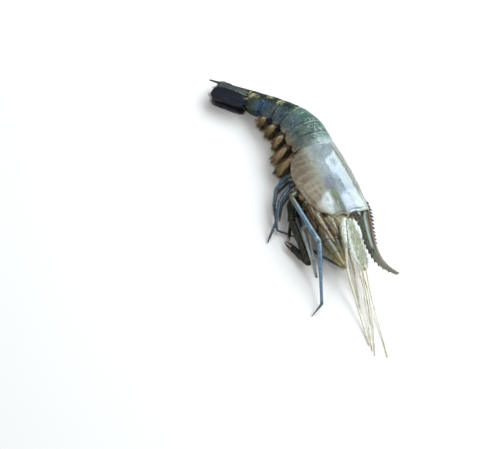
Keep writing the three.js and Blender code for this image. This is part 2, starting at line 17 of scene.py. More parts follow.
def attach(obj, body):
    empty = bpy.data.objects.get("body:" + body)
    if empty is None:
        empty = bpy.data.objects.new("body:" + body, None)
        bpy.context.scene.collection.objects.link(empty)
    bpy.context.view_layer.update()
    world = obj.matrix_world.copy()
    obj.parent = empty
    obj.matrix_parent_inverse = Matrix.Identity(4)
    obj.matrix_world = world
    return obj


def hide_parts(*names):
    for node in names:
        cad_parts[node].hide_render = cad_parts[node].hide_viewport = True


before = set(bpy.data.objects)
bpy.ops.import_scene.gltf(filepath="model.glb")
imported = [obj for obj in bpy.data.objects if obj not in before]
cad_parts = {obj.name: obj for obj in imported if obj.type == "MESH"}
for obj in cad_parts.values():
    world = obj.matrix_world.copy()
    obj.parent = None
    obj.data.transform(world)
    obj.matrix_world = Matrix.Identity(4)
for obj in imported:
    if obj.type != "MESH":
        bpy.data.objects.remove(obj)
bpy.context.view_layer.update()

# ---- driving sizes


def table(names, *rows):
    """Rows of values, each under the same names."""
    return [dict(zip(names.split(), row)) for row in rows]


MM = 0.001
FLOOR_GAP = 0.02
HAIR_GAP = 0.03
MERGE_DISTANCE = 1e-6
SAME_PLACE = 1e-7
SMOOTH_ANGLE = math.radians(50)
SIDES = {1: "right", -1: "left"}
HEADING = math.radians(-67)
SHIFT = (45.308, -15.190)  # of the lying frame, onto the frame of the whole part

CARAPACE_LENGTH = 66
CARAPACE_BACK = [(0, 16.6), (12, 17.9), (30, 19.1), (50, 19.5), (66, 19)]
CARAPACE_MARGIN = [
    (0, -11.6), (5, -17.6), (12, -22.2), (22, -24.9), (36, -25.6), (50, -25), (60, -21.5), (66, -16.5),
]
CARAPACE_HALF_WIDTH = [(0, 8.4), (8, 11.8), (18, 15), (32, 17.6), (48, 17.8), (58, 16.6), (66, 15.2)]
CARAPACE_WIDEST = -5
FRONT_SLANT = [(52, 0), (72, 2.3), (86, 4.5), (100, 4.8), (112, 4.5), (122, 5.4), (130, 7.6), (140, 9.6)]
REAR_BULGE = 3
MARGIN_TURN = math.radians(140)
FLANK_POWER = 0.92
LIP = 1.6
RECESS = 4.5

# the rings, with their values at the front and at the rear
SOMITES = table(
    "length bend back margin half",
    (12, 0, (18.9, 19.1), (-15.2, -15.6), (14.4, 14.5)),
    (12.5, 4, (18.9, 18.7), (-16.2, -16.0), (14.3, 13.8)),
    (16, 20, (18.2, 15.5), (-14.6, -13.4), (13.3, 12.2)),
    (12, 11, (14.9, 13.5), (-12.9, -11.6), (11.8, 10.8)),
    (13, 4, (13.2, 12.5), (-11.0, -9.8), (10.4, 9.4)),
    (18.5, 2, (12.2, 11.2), (-8.4, -7.4), (9.0, 7.2)),
)
OVERLAPPING_RING, LAST_RING = 1, 5
GLOSSY_RINGS = 3
LOBE = 2.4
RING_BULGE = 1.6
TAIL = CARAPACE_LENGTH + sum(ring["length"] for ring in SOMITES)
TELSON_LENGTH = 34
TELSON_STRETCH = 5
TELSON_HALF_WIDTH = 3.7

SPINE_OFFSET = -5.5
SPINE_HEIGHT = [(-60, 18), (44, 18), (66, 15.8), (91, 14.2), (121, 11.6), (TAIL, 9.4), (200, 6.6)]
SPINE_ROLL = [(-60, 16), (40, 16), (70, 14), (110, 11), (TAIL, 9), (200, 8)]

ROSTRUM_ROOT, ROSTRUM_LENGTH = -24, 57
ROSTRUM_HALF_THICKNESS = 1.25
ROSTRUM_BACK = [
    (-24, 18.4), (-6, 17.4), (3, 16.3), (9, 14.6), (16, 12), (23, 9.9), (31, 8.1), (40, 7.9), (49, 9.9),
    (57, 14),
]
ROSTRUM_BELLY = [(-24, 13), (-2, 9), (4, 5), (12, 3.4), (20, 1.9), (29, 1), (38, 1.5), (47, 4.2), (57, 11)]

draw = random.Random(7)


# ---- small helpers


def lerp(a, b, share):
    return a + (b - a) * share


def smooth(x, low, high):
    """0 below low, 1 above high, and a smooth rise between."""
    u = min(max((x - low) / (high - low), 0), 1)
    return u * u * (3 - 2 * u)


def hump(x, middle, width):
    """1 at the middle, falling away over the width."""
    return math.exp(-(((x - middle) / width) ** 2))


def along(stops, x):
    """A smooth curve through (x, value) stops, level beyond the first and the last."""
    last = len(stops) - 1
    if x <= stops[0][0]:
        return stops[0][1]
    if x >= stops[last][0]:
        return stops[last][1]
    i = next(k for k, stop in enumerate(stops) if stop[0] > x) - 1

    def slope(k):
        before, after = stops[max(k - 1, 0)], stops[min(k + 1, last)]
        return (after[1] - before[1]) / (after[0] - before[0])

    width = stops[i + 1][0] - stops[i][0]
    u = (x - stops[i][0]) / width
    rise = lerp(stops[i][1], stops[i + 1][1], u * u * (3 - 2 * u))
    return rise + width * u * (1 - u) * ((1 - u) * slope(i) - u * slope(i + 1))


# ---- the spine


def stretch_point(stretch, distance):
    """A point on an arc that runs towards the tail and curls towards the belly, and its angle there."""
    angle = stretch["angle"] + stretch["turn"] * distance / stretch["length"]
    middle = (stretch["angle"] + angle) / 2
    return stretch["x"] - distance * math.cos(middle), stretch["y"] - distance * math.sin(middle), angle


STRETCHES = table("start length turn x y angle", (0, CARAPACE_LENGTH, 0, 0, SPINE_OFFSET, 0))
for ring in SOMITES:
    before = STRETCHES[-1]
    begin = before["start"] + before["length"]
    arc = (begin, ring["length"], math.radians(ring["bend"]), *stretch_point(before, before["length"]))
    STRETCHES += table("start length turn x y angle", arc)


def lying(x, y, z):
    """A point of the lying frame, in metres on the whole part. Nothing goes below the floor."""
    cos, sin = math.cos(HEADING), math.sin(HEADING)
    return Vector((x * cos - y * sin + SHIFT[0], x * sin + y * cos + SHIFT[1], max(z, FLOOR_GAP))) * MM


def body(s, y, z):
    """The same for a point of the body frame."""
    stretch = next((one for one in reversed(STRETCHES) if one["start"] <= s), STRETCHES[0])
    past = max(s - TAIL, 0)
    on_x, on_y, angle = stretch_point(stretch, s - past - stretch["start"])
    roll = math.radians(along(SPINE_ROLL, s))
    sideways = y * math.cos(roll) - z * math.sin(roll)
    return lying(
        on_x - past * math.cos(angle) - sideways * math.sin(angle),
        on_y - past * math.sin(angle) + sideways * math.cos(angle),
        along(SPINE_HEIGHT, s) + y * math.sin(roll) + z * math.cos(roll),
    )


def flanked(side, *points):
    """Points of the body frame on one side, each as (s, y, z outwards)."""
    return [body(s, y, side * z) for s, y, z in points]


def way(x, y):
    """A direction at the head, in mm forward and towards the back."""
    return body(-x, y, 0) - body(0, 0, 0)


# ---- modelling moves


def start(primitive, **sizes):
    """A new primitive, with nothing else selected."""
    bpy.ops.object.select_all(action="DESELECT")
    primitive(**sizes)
    return bpy.context.object


def wrapped(rows, sides, place, look):
    """A grid wrapped round into a closed skin: place(row, turn) gives a point and its form."""
    piece = start(bpy.ops.mesh.primitive_grid_add, x_subdivisions=rows - 1, y_subdivisions=sides, size=1)
    mesh = piece.data
    points, forms = [], []
    for corner in mesh.vertices:
        row = round((corner.co.x + 0.5) * (rows - 1))
        turn = 2 * math.pi * round((corner.co.y + 0.5) * sides) / sides - math.pi
        point, form = place(row, turn)
        points.extend(point)
        forms.extend(form)
    mesh.vertices.foreach_set("co", points)
    mesh.attributes.new("form", "FLOAT_VECTOR", "POINT").data.foreach_set("vector", forms)
    mesh.update()
    bpy.ops.object.mode_set(mode="EDIT")
    bpy.ops.mesh.select_all(action="SELECT")
    bpy.ops.mesh.remove_doubles(threshold=MERGE_DISTANCE)
    bpy.ops.mesh.normals_make_consistent(inside=False)
    bpy.ops.object.mode_set(mode="OBJECT")
    mesh.materials.append(LOOKS[look].material)
    return piece


def closed_skin(count, sides, place, look):
    """A skin along shares 0 to 1, closed at both ends by a row of size 0: place(share, size, turn)."""
    rows = [(0, 0), *[(k / (count - 1), 1) for k in range(count)], (1, 0)]
    return wrapped(len(rows), sides, lambda row, turn: place(*rows[row], turn), look)


def joined(name, parts):
    """One piece of several."""
    bpy.ops.object.select_all(action="DESELECT")
    for part in parts:
        part.select_set(True)
    bpy.context.view_layer.objects.active = parts[0]
    if len(parts) > 1:
        bpy.ops.object.join()
    piece = bpy.context.object
    piece.name = piece.data.name = name
    return piece


def kept(piece, node):
    """Smooths a finished piece, sets it on the body and puts it in the place of its node."""
    bpy.ops.object.select_all(action="DESELECT")
    piece.select_set(True)
    bpy.context.view_layer.objects.active = piece
    bpy.ops.object.shade_smooth_by_angle(angle=SMOOTH_ANGLE)
    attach(piece, "root")
    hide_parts(node)


def tube(stops, sides, look, flatten=1, across=None):
    """A closed round skin along stops of (centre, radius in mm, form), with its frame carried along."""
    centres = [stop[0] for stop in stops]
    frames = []
    last = len(centres) - 1
    for i in range(len(centres)):
        low, high = max(i - 1, 0), min(i + 1, last)
        while (centres[high] - centres[low]).length < SAME_PLACE:
            low, high = (low, high + 1) if high < last else (low - 1, high)
        ahead = (centres[high] - centres[low]).normalized()
        level = frames[-1][0] if frames else (across or Vector((0, 0, 1)).cross(ahead))
        level = (level - ahead * level.dot(ahead)).normalized()
        frames.append((level, ahead.cross(level)))

    def place(row, turn):
        centre, radius, form = stops[row]
        level, upright = frames[row]
        reach = radius * MM
        point = centre + level * (reach * math.cos(turn)) + upright * (reach * flatten * math.sin(turn))
        point.z = max(point.z, FLOOR_GAP * MM)
        return point, form

    return wrapped(len(stops), sides, place, look)


# A limb's stretch between two joints: share along, and radius against the even taper.
STRETCH_PROFILE = [
    (0, 0.62), (0.03, 0.86), (0.08, 0.97), (0.2, 1.02), (0.4, 0.98), (0.6, 0.95), (0.8, 0.98), (0.9, 1.05),
    (0.96, 1.12), (0.985, 1.13), (1, 1.04), (1.01, 0.8),
]


def stretch(begin, end, begin_radius, end_radius, number, sides, look, flatten=1, bow=0):
    """One stretch of a limb, in a collar at its far joint and narrow where it leaves the one before."""
    length = (end - begin).length / MM
    ahead = (end - begin).normalized()
    lift = Vector((0, 0, 1)) - ahead * ahead.z
    back = begin - ahead * (0.6 * begin_radius * MM)
    stops = [(back, size * begin_radius, (0, 0, number)) for size in (0, 0.4)]
    for share, size in STRETCH_PROFILE:
        centre = begin.lerp(end, share) + lift * (bow * MM * math.sin(math.pi * min(share, 1)))
        stops.append((centre, lerp(begin_radius, end_radius, share) * size, (share, length * share, number)))
    front = end + ahead * (0.6 * end_radius * MM)
    stops += [(front, size * end_radius, (1, length, number)) for size in (0.55, 0)]
    return tube(stops, sides, look, flatten)


def limb(points, radii, sides, look, flatten=1):
    """A limb of several stretches, numbered from its root."""
    ends = zip(points, points[1:], radii, radii[1:])
    return [stretch(*one, number, sides, look, flatten) for number, one in enumerate(ends)]


def curve_points(points, count):
    """Points evenly shared out on a smooth curve through the given ones."""
    reach = [0]
    for a, b in zip(points, points[1:]):
        reach.append(reach[-1] + (b - a).length)
    made = []
    for k in range(count):
        at = reach[-1] * k / (count - 1)
        made.append(Vector([along([(r, p[axis]) for r, p in zip(reach, points)], at) for axis in range(3)]))
    return made


def whip(points, thick, thin, rings):
    """A long feeler with fine joints along it."""
    path = curve_points(points, rings)
    stops = [(path[0], 0, (0, 0, 0))]
    for i, point in enumerate(path):
        share = i / (rings - 1)
        stops.append((point, lerp(thick, thin, share) * (1 + 0.05 * (-1) ** i), (share, i, 0)))
    stops.append((path[-1] + (path[-1] - path[-2]).normalized() * thin * MM, 0, (1, rings, 0)))
    return tube(stops, 10, "feeler")


def spike(base, tip, radius, look, bend=Vector((0, 0, 0)), flatten=1):
    """A thorn or a tooth."""
    stops = [(base, 0, (0, 0, 9))]
    for share, size in [(0, 1), (0.3, 0.82), (0.6, 0.52), (0.85, 0.24), (1, 0.05)]:
        stops.append((base.lerp(tip, share) + bend * (share * (1 - share)), radius * size, (share, 0, 9)))
    stops.append((tip, 0, (1, 0, 9)))
    return tube(stops, 8, look, flatten)


def thorns(ends, look):
    """Thorns on both sides, from (s, y, z) of the base and of the tip and a radius, z outwards."""
    return [spike(*flanked(side, base, tip), radius, look) for side in SIDES for base, tip, radius in ends]


def hair_shape():
    """One fine hair of unit size, drawn up from a square foot in three pulls."""
    hair = start(bpy.ops.mesh.primitive_circle_add, vertices=4, radius=1, fill_type="NGON")
    bpy.ops.object.mode_set(mode="EDIT")
    bpy.ops.mesh.select_all(action="SELECT")
    for size in (0.85, 0.75, 0.2):
        bpy.ops.mesh.extrude_region_move(TRANSFORM_OT_translate={"value": (0, 0, 1 / 3)})
        bpy.ops.transform.resize(value=(size, size, 1))
    bpy.ops.mesh.select_all(action="SELECT")
    bpy.ops.mesh.normals_make_consistent(inside=False)
    bpy.ops.object.mode_set(mode="OBJECT")
    shape = [tuple(v.co) for v in hair.data.vertices], [tuple(f.vertices) for f in hair.data.polygons]
    bpy.data.objects.remove(hair)
    return shape


HAIR = hair_shape()


def hairs(roots, radius, look, droop=0):
    """A fringe of copies of the one hair, from roots of (base, tip)."""
    corners, faces = HAIR
    points, made = [], []
    for base, tip in roots:
        ahead = tip - base
        level = ahead.orthogonal().normalized()
        upright = ahead.normalized().cross(level)
        first = len(points)
        for x, y, z in corners:
            sag = Vector((0, 0, -droop)) * (MM * z * z)
            point = base + ahead * z + (level * x + upright * y) * radius * MM + sag
            point.z = max(point.z, HAIR_GAP * MM)
            points.append(point)
        made.extend([tuple(first + k for k in face) for face in faces])
    mesh = bpy.data.meshes.new("hairs")
    mesh.from_pydata(points, [], made)
    mesh.attributes.new("form", "FLOAT_VECTOR", "POINT")
    mesh.materials.append(LOOKS[look].material)
    piece = bpy.data.objects.new("hairs", mesh)
    bpy.context.scene.collection.objects.link(piece)
    return piece


def edge_hairs(points, radii, count, spread, crowding, edges, inset, lean, reach):
    """Bristles along the edges of a flattened limb, taking its edges in turn."""
    roots = []
    for k in range(count):
        share = 3 * draw.uniform(*spread) ** crowding
        n = int(share)
        edge = edges[k % len(edges)]
        level = way(0, edge) * lerp(radii[n], radii[n + 1], share - n) * inset
        base = points[n].lerp(points[n + 1], share - n) + level
        roots.append((base, base + way(lean[0], edge * lean[1]) * draw.uniform(*reach)))
    return hairs(roots, 0.09, "mouth bristles")


# ---- materials


def operator(operation, swapped=False):
    """A method that adds one Math node."""
    return lambda self, other=None: self.math(operation, *((other, self) if swapped else (self, other)))


class Num:
    """A number that changes over a surface, with Math nodes for its operators."""

    def __init__(self, look, socket):
        self.look, self.socket = look, socket

    def math(self, operation, first, second):
        values = {0: first} if second is None else {0: first, 1: second}
        return Num(self.look, self.look.node("ShaderNodeMath", {"operation": operation}, values).outputs[0])

    __add__, __radd__ = operator("ADD"), operator("ADD", True)
    __sub__, __rsub__ = operator("SUBTRACT"), operator("SUBTRACT", True)
    __mul__, __rmul__ = operator("MULTIPLY"), operator("MULTIPLY", True)
    __truediv__, __pow__ = operator("DIVIDE"), operator("POWER")
    size, wave = operator("ABSOLUTE"), operator("SINE")

    def rise(self, low, high):
        """0 below low, 1 above high."""
        values = {"Value": self, "From Min": low, "From Max": high}
        made = self.look.node("ShaderNodeMapRange", {"interpolation_type": "SMOOTHSTEP"}, values)
        return Num(self.look, made.outputs[0])

    def fall(self, low, high):
        """1 below low, 0 above high."""
        return 1 - self.rise(low, high)

    def band(self, low, high, soft):
        """1 between low and high, with soft edges outside them."""
        return self.rise(low - soft, low) * self.fall(high, high + soft)


def tone(red, green, blue):
    """A colour as the eye sees it, 0 to 255, for a colour socket."""
    linear = [(c / 255) / 12.92 if c <= 10 else ((c / 255 + 0.055) / 1.055) ** 2.4 for c in (red, green, blue)]
    return (*linear, 1)


WET = {"Coat_Weight": 1.0, "Coat_Roughness": 0.05, "Coat_IOR": 1.6, "Roughness": 0.42, "IOR": 1.45}
LOOKS = {}


class Look:
    """A material, the nodes that make it and its colour so far, wet unless its skin says otherwise."""

    def __init__(self, name, colour=None, **skin):
        LOOKS[name] = self
        self.material = bpy.data.materials.new(name)
        self.material.use_nodes = True
        self.tree = self.material.node_tree
        self.skin = self.tree.nodes["Principled BSDF"]
        for socket, value in {**WET, **skin}.items():
            self.skin.inputs[socket.replace("_", " ")].default_value = value
        self.colour = colour
        self.at = self.node("ShaderNodeTexCoord").outputs["Object"]
        form = self.node("ShaderNodeAttribute", {"attribute_name": "form", "attribute_type": "GEOMETRY"})
        parts = self.node("ShaderNodeSeparateXYZ", {}, {"Vector": form.outputs["Vector"]})
        self.form = [Num(self, parts.outputs[k]) for k in range(3)]

    def node(self, kind, settings=None, values=None):
        """Any node, from its type, its settings and what its sockets hold or are linked to."""
        made = self.tree.nodes.new(kind)
        for setting, value in (settings or {}).items():
            setattr(made, setting, value)
        for socket, value in (values or {}).items():
            if isinstance(value, Num):
                value = value.socket
            if isinstance(value, bpy.types.NodeSocket):
                self.tree.links.new(value, made.inputs[socket])
            else:
                made.inputs[socket].default_value = value
        return made

    def spot(self, middle, reach):
        """1 at a place of the form, (station, y), falling to 0 at its reach in mm."""
        along_it = (self.form[0] - middle[0]) / reach[0]
        across_it = (self.form[1] - middle[1]) / reach[1]
        return (along_it * along_it + across_it * across_it).fall(0.15, 1)

    def noise(self, values):
        """Noise about 0, mostly within half of one either way."""
        return (Num(self, self.node("ShaderNodeTexNoise", {}, values).outputs[0]) - 0.5) * 1.6

    def grain(self, size, detail=2, stretch=(1, 1, 1), seed=0):
        """Noise with blots of that size in mm."""
        shift = {"Vector": self.at, "Scale": stretch, "Location": (seed, seed * 0.7, 0)}
        placed = self.node("ShaderNodeMapping", {}, shift).outputs[0]
        return self.noise({"Vector": placed, "Scale": 1 / (size * MM), "Detail": detail})

    def ring_grain(self, length, round_it, seed):
        """Noise that follows the form: blots of that length along the body, drawn out round it, in mm."""
        place = {0: self.form[0] / length, 1: (self.form[1] + self.form[2] * 0.6) / round_it, 2: seed}
        placed = self.node("ShaderNodeCombineXYZ", {}, place).outputs[0]
        return self.noise({"Vector": placed, "Scale": 1, "Detail": 3})

    def specks(self, size, full, none):
        """1 in small dots, one in each cell of that size in mm, and 0 between them."""
        values = {"Vector": self.at, "Scale": 1 / (size * MM)}
        distance = Num(self, self.node("ShaderNodeTexVoronoi", {}, values).outputs["Distance"])
        return distance.fall(full, none)

    def tint(self, colour, share):
        """Lays a colour over the one so far."""
        second = tone(*colour) if isinstance(colour, tuple) else colour
        values = {0: share, 6: self.colour, 7: second}
        made = self.node("ShaderNodeMix", {"data_type": "RGBA", "clamp_factor": True}, values)
        self.colour = made.outputs[2]

    def stops(self, x, *tones):
        """Colours along x, given as (place, red, green, blue)."""
        low, high = tones[0][0], tones[-1][0]
        ramp = self.node("ShaderNodeValToRGB", {}, {0: (x - low) / (high - low)})
        elements = ramp.color_ramp.elements
        while len(elements) < len(tones):
            elements.new(0.5)
        for element, (place, *colour) in zip(elements, tones):
            element.position = (place - low) / (high - low)
            element.color = tone(*colour)
        return ramp.outputs[0]

    def feed(self, **values):
        """Links what varies to the skin's sockets."""
        for socket, value in values.items():
            self.tree.links.new(value.socket, self.skin.inputs[socket.replace("_", " ")])

    def relief(self, height, depth):
        """Fine relief of that depth in mm."""
        values = {"Height": height, "Distance": depth * MM, "Strength": 1.0}
        self.feed(Normal=Num(self, self.node("ShaderNodeBump", {}, values).outputs[0]))

    def paint(self):
        """Feeds the skin's finished colour."""
        self.feed(Base_Color=Num(self, self.colour))


def carapace_look():
    """Thin wet shell: milky grey over the back, tan over the gills, with a pale patch in front that is partly a
    painted reflection, and a painted highlight on the front above it.
    """
    look = Look("carapace shell")
    s, y, _ = look.form
    cloud, blots, fine = look.grain(13, 3, seed=3), look.grain(4, 3, seed=11), look.grain(1.6, 3)
    look.colour = look.stops(
        y + cloud * 4,
        (-26, 124, 108, 82), (-22, 138, 124, 99), (-18, 128, 115, 93), (-13, 134, 127, 108),
        (-9, 150, 147, 130), (-4, 152, 156, 148), (2, 144, 155, 158), (9, 128, 145, 154),
        (13, 118, 129, 130), (16.5, 86, 86, 68), (20, 70, 68, 50),
    )
    # paler and greener towards the head, olive-brown towards the lower rear corner
    look.tint((172, 180, 168), (s + cloud * 6).band(-4, 12, 8) * 0.5)
    rear = (s + cloud * 5 - y * 0.2).rise(44, 62)
    look.tint((96, 84, 60), rear * (y + blots * 3).fall(-13, -3) * 0.7)
    look.tint((98, 108, 106), rear * y.rise(-8, 2) * 0.55)
    # gills that show through over the lower flank, as curved lobes with pale lines between them
    turn = (s * 0.93 + y * 0.4 + y * y * 0.012 + cloud * 4.6 + blots * 1.7).wave()
    flank = s.band(15, 64, 8) * (y + cloud * 5).band(-25, -11, 8) * (blots + cloud * 0.7).rise(-0.6, 0.3)
    look.tint((176, 166, 140), turn.rise(0.3, 1.0) * flank * 0.42)
    look.tint((106, 90, 66), (0 - turn).rise(-0.2, 1.0) * flank * 0.38)
    # the pale patch in front, tilted, partly a painted reflection
    tilted = ((s - 13.5) * 0.92 + (y + 11.5) * 0.39, (y + 11.5) * 0.92 - (s - 13.5) * 0.39)
    reach = (tilted[0] / 13.5) ** 2 + (tilted[1] / 6.2) ** 2
    look.tint((222, 232, 232), (reach + blots * 0.5).fall(0.15, 1.1))
    for colour, middle, size, strength in (
        # painted reflection: the pale patch's lower end, made paler where the shell faces down
        ((216, 216, 198), (10, -17), (13, 7), 0.85),  # the patch's lower end
        ((112, 118, 134), (30, -1.0), (8, 6), 0.7),  # the dusky spot behind it
        ((112, 126, 92), (19.5, -1.5), (7, 3.4), 0.8),  # the green streak between them
        ((104, 124, 108), (9, -0.5), (9, 2.6), 0.7),
        ((92, 104, 84), (26, 6.5), (5, 2), 0.5),
        ((150, 92, 58), (2.4, -3.6), (3.6, 2.6), 0.8),  # orange-brown below the eye
        # painted highlight: the wet front above the eye, whitened like the window's reflection
        ((212, 222, 234), (8, 4.8), (13, 5), 0.85),  # the bright front above it
    ):
        look.tint(colour, look.spot(middle, size) * strength)
    margin = (s - y.fall(-6, 9) * 4.8).fall(0.9, 2.2)
    look.tint((116, 118, 98), margin * 0.5)
    # mottling and fine dark specks
    look.tint((84, 92, 80), (blots + fine * 0.4).rise(0.12, 0.46) * 0.3)
    look.tint((208, 214, 204), (0 - blots - fine * 0.4).rise(0.14, 0.5) * 0.3)
    look.tint((58, 58, 44), look.specks(1.25, 0.1, 0.26) * cloud.rise(-0.2, 0.3) * 0.45)
    # the dark keel on the back
    look.tint((66, 66, 50), y.band(17.2, 17.8, 0.6) * s.band(-2, 62, 6) * 0.7)
    look.relief(cloud * 1.1 + blots * 0.85 + fine * 0.24, 0.62)
    # the wet coat breaks off over the dusky spot and along the streaks behind it
    dull = look.spot((29, 4.5), (9, 4.2)) + look.spot((45, 9.5), (5, 3)) + look.spot((17, -0.5), (9, 3.4))
    dull = dull * 0.8 * (blots + fine * 0.6).rise(-0.5, 0.0)
    coat = ((cloud + fine * 0.5).rise(-0.62, -0.2) * 0.75 + 0.25) * (1 - dull) * (1 - margin * 0.9)
    look.feed(Coat_Weight=coat, Roughness=blots.rise(-0.5, 0.6) * 0.2 + 0.32)


def ring_look(name, refraction):
    """The abdomen's shells: teal and slate, dark towards the tail, tan at the lower edge, with painted shade
    under each ring's rear edge and under the last ring.
    """
    look = Look(name, IOR=refraction)
    s, y, _ = look.form
    cloud, blots, fine = look.grain(8, 3, seed=5), look.grain(3, 3, seed=21), look.grain(1.3, 3)
    look.colour = look.stops(
        s + cloud * 3,
        (64, 126, 130, 118), (69, 106, 113, 102), (74, 80, 90, 88), (84, 78, 90, 85), (95, 70, 88, 90),
        (106, 70, 84, 88), (112, 58, 70, 76), (117, 76, 88, 92), (122, 78, 82, 82), (128, 46, 66, 78),
        (134, 66, 90, 114), (140, 60, 72, 64), (150, 30, 34, 30),
    )
    back = look.stops(
        s + cloud * 4,
        (64, 150, 164, 160), (69, 136, 152, 146), (73, 78, 102, 95), (78, 58, 84, 74), (86, 44, 76, 63),
        (95, 44, 76, 62), (103, 60, 86, 76), (109, 22, 38, 31), (124, 22, 34, 27), (138, 26, 34, 22),
        (150, 40, 42, 30),
    )
    # the lower edge: tan in front, near black under the last ring, which is partly painted shade
    edge = look.stops(
        s,
        (64, 118, 102, 78), (78, 102, 90, 66), (86, 116, 106, 88), (92, 94, 92, 82), (99, 118, 116, 98),
        (104, 86, 88, 80), (110, 118, 122, 116), (117, 98, 100, 94), (123, 98, 90, 80), (128, 62, 64, 62),
        (134, 70, 74, 76), (140, 36, 37, 38), (150, 18, 20, 22),
    )
    look.tint(back, (y + cloud * 6).rise(-1, 8))
    look.tint(edge, (0 - y - cloud * 4).rise(8, 14))
    # green and violet clouds
    green = (cloud + blots * 0.4).rise(0.04, 0.36) * s.band(76, 108, 5) * (y + blots * 4).rise(-6, 8)
    look.tint((72, 122, 100), green * 0.6)
    look.tint((84, 88, 114), (0 - cloud).rise(0.1, 0.42) * s.band(70, 142, 6) * 0.45)
    # dark and pale dashes that run round each ring
    dashes = look.ring_grain(2.6, 9, 4)
    look.tint((24, 38, 31), dashes.rise(0.04, 0.36) * 0.7)
    look.tint((166, 184, 168), (0 - dashes).rise(0.16, 0.46) * s.band(60, 108, 6) * 0.5)
    look.tint((24, 32, 28), blots.rise(0.1, 0.4) * s.rise(104, 116) * 0.6)
    # painted shade in a dark line under each ring's rear edge, and a thin pale line on the edge
    for arc in STRETCHES[2:]:
        joint = arc["start"]
        painted_shade_line = (s + blots * 0.6).band(joint - 0.1, joint + 1.3, 0.7)
        look.tint((18, 26, 22), painted_shade_line * (y + cloud * 14).rise(-12, 4) * 0.7)
        pale_line = (s + blots * 0.5).band(joint - 1.1, joint - 0.6, 0.4) * (y + blots * 12).rise(2, 8)
        look.tint((150, 170, 154), pale_line * (0.4 if joint < 108 else 0.12))
    mottle = blots * 0.9 + fine * 0.7
    look.tint((22, 34, 30), mottle.rise(0.1, 0.42) * 0.42)
    look.tint((168, 184, 174), (0 - mottle).rise(0.16, 0.5) * s.band(60, 112, 6) * 0.32)
    # yellow marks where the last rings hinge
    for middle, size, strength in (
        ((150, 4), (6, 7), 0.9), ((143, 5), (5, 3), 0.75), ((130, 8.5), (4, 2.4), 0.85),
        ((119.8, 7.5), (4, 4.4), 0.8), ((107, 11), (2.4, 2), 0.4),
    ):
        gold = look.spot(middle, size) * (blots * 0.6 + fine * 0.9).rise(-0.2, 0.2) * strength
        look.tint((160, 148, 100), gold)
        look.tint((206, 198, 166), gold * fine.rise(0.06, 0.26) * 0.7)
    look.tint((26, 32, 26), look.specks(1.1, 0.12, 0.3) * 0.5)
    look.relief(cloud * 0.9 + blots * 0.8 + fine * 0.3 + dashes * 0.5, 0.62)
    glints = (cloud * 0.6 + blots + fine * 0.9).rise(-0.12, 0.26) * 0.75 + 0.04
    coat = glints * (1 - (s + cloud * 4).rise(96, 110) * 0.5)
    look.feed(Coat_Weight=coat, Roughness=blots.rise(-0.5, 0.6) * 0.2 + 0.38)


def plain_look(name, base, dark, light, size=2.2, spots=0.0, **skin):
    """A wet skin of one colour with darker and lighter clouds and fine specks."""
    look = Look(name, tone(*base), **skin)
    cloud, blots = look.grain(size * 3, 3, seed=2), look.grain(size, 3, seed=8)
    look.tint(dark, (cloud + blots * 0.6).rise(0.0, 0.5))
    look.tint(light, (0 - cloud * 0.5 - blots).rise(0.05, 0.45))
    if spots:
        look.tint(dark, look.specks(0.8, 0.12, 0.3) * spots)
    look.relief(blots * 0.5 + look.grain(size * 0.4) * 0.3, 0.25)
    return look


def limb_look(name, base, dark, light, joint, **skin):
    """A leg: its own colour, paler or browner at the joints, darker at each collar's edge."""
    look = plain_look(name, base, dark, light, 1.6, 0.3, **{"Coat_Weight": 0.4, "IOR": 1.35, **skin})
    share = look.form[0]
    look.tint(joint, (share.rise(0.86, 0.97) + share.fall(0.02, 0.1)) * 0.65)
    look.tint(dark, share.band(0.985, 1.0, 0.012) * 0.8)


def blade_look(name, base, rim, rib, light, **skin):
    """A fan blade: darker to its edge, with ribs along it."""
    look = plain_look(name, base, rim, light, 2.4, **skin)
    share, across, _ = look.form
    wide = across.size()
    look.tint(light, (across * 34 + look.grain(6) * 5).wave().rise(0.55, 1.0) * 0.25)
    look.tint(rim, wide.rise(0.72, 0.96) * 0.8)
    look.tint(rib, wide.fall(0.03, 0.1) * 0.7)
    look.tint(rim, share.rise(0.82, 1.0) * 0.6)


def rostrum_look():
    """The beak: brown crest and teeth, grey below, and a pale painted highlight along the ridge on each side.
    """
    tones = (92, 96, 80), (58, 56, 42), (126, 128, 108)
    look = plain_look("rostrum", *tones, 2.0, 0.3, Coat_Weight=0.45, IOR=1.35)
    x, height, _ = look.form  # distance in front of the orbit, and -1 at the belly edge to 1 at the back edge
    look.tint((80, 62, 38), height.rise(0.22, 0.6) * x.fall(26, 40) * 0.92)
    look.tint((122, 112, 98), x.rise(30, 46) * 0.8)
    # painted highlight along the ridge on each side
    look.tint((178, 190, 182), height.band(-0.08, 0.1, 0.13) * x.band(-16, 26, 6) * 0.85)
    look.tint((52, 42, 34), height.rise(1.2, 1.8) * 0.9)


def flesh_look():
    """The soft underside, leg roots and mouth: dark brown, gold-brown and tan in folds."""
    look = plain_look("underside", (96, 74, 42), (40, 29, 15), (150, 126, 82), 1.8, Roughness=0.5)
    look.tint((184, 148, 84), look.grain(2.6, 3, seed=31).rise(0.12, 0.4) * 0.6)
    look.tint((84, 84, 56), look.grain(4, seed=40).rise(0.14, 0.4) * 0.5)


def face_look():
    """The face below the eye: pale tan-green, orange-brown round the eye, darker towards the mouth."""
    look = plain_look("face", (150, 142, 108), (92, 74, 42), (200, 192, 160), 1.3, 0.3, Coat_Weight=0.5)
    look.tint((84, 62, 34), (0 - look.form[1] + look.grain(3) * 4).rise(12, 18) * 0.8)
    orange = look.spot((-1, 2.5), (7, 6.5)) * look.grain(1.4, 3, seed=12).rise(-0.3, 0.2)
    look.tint((134, 88, 52), orange * 0.8)


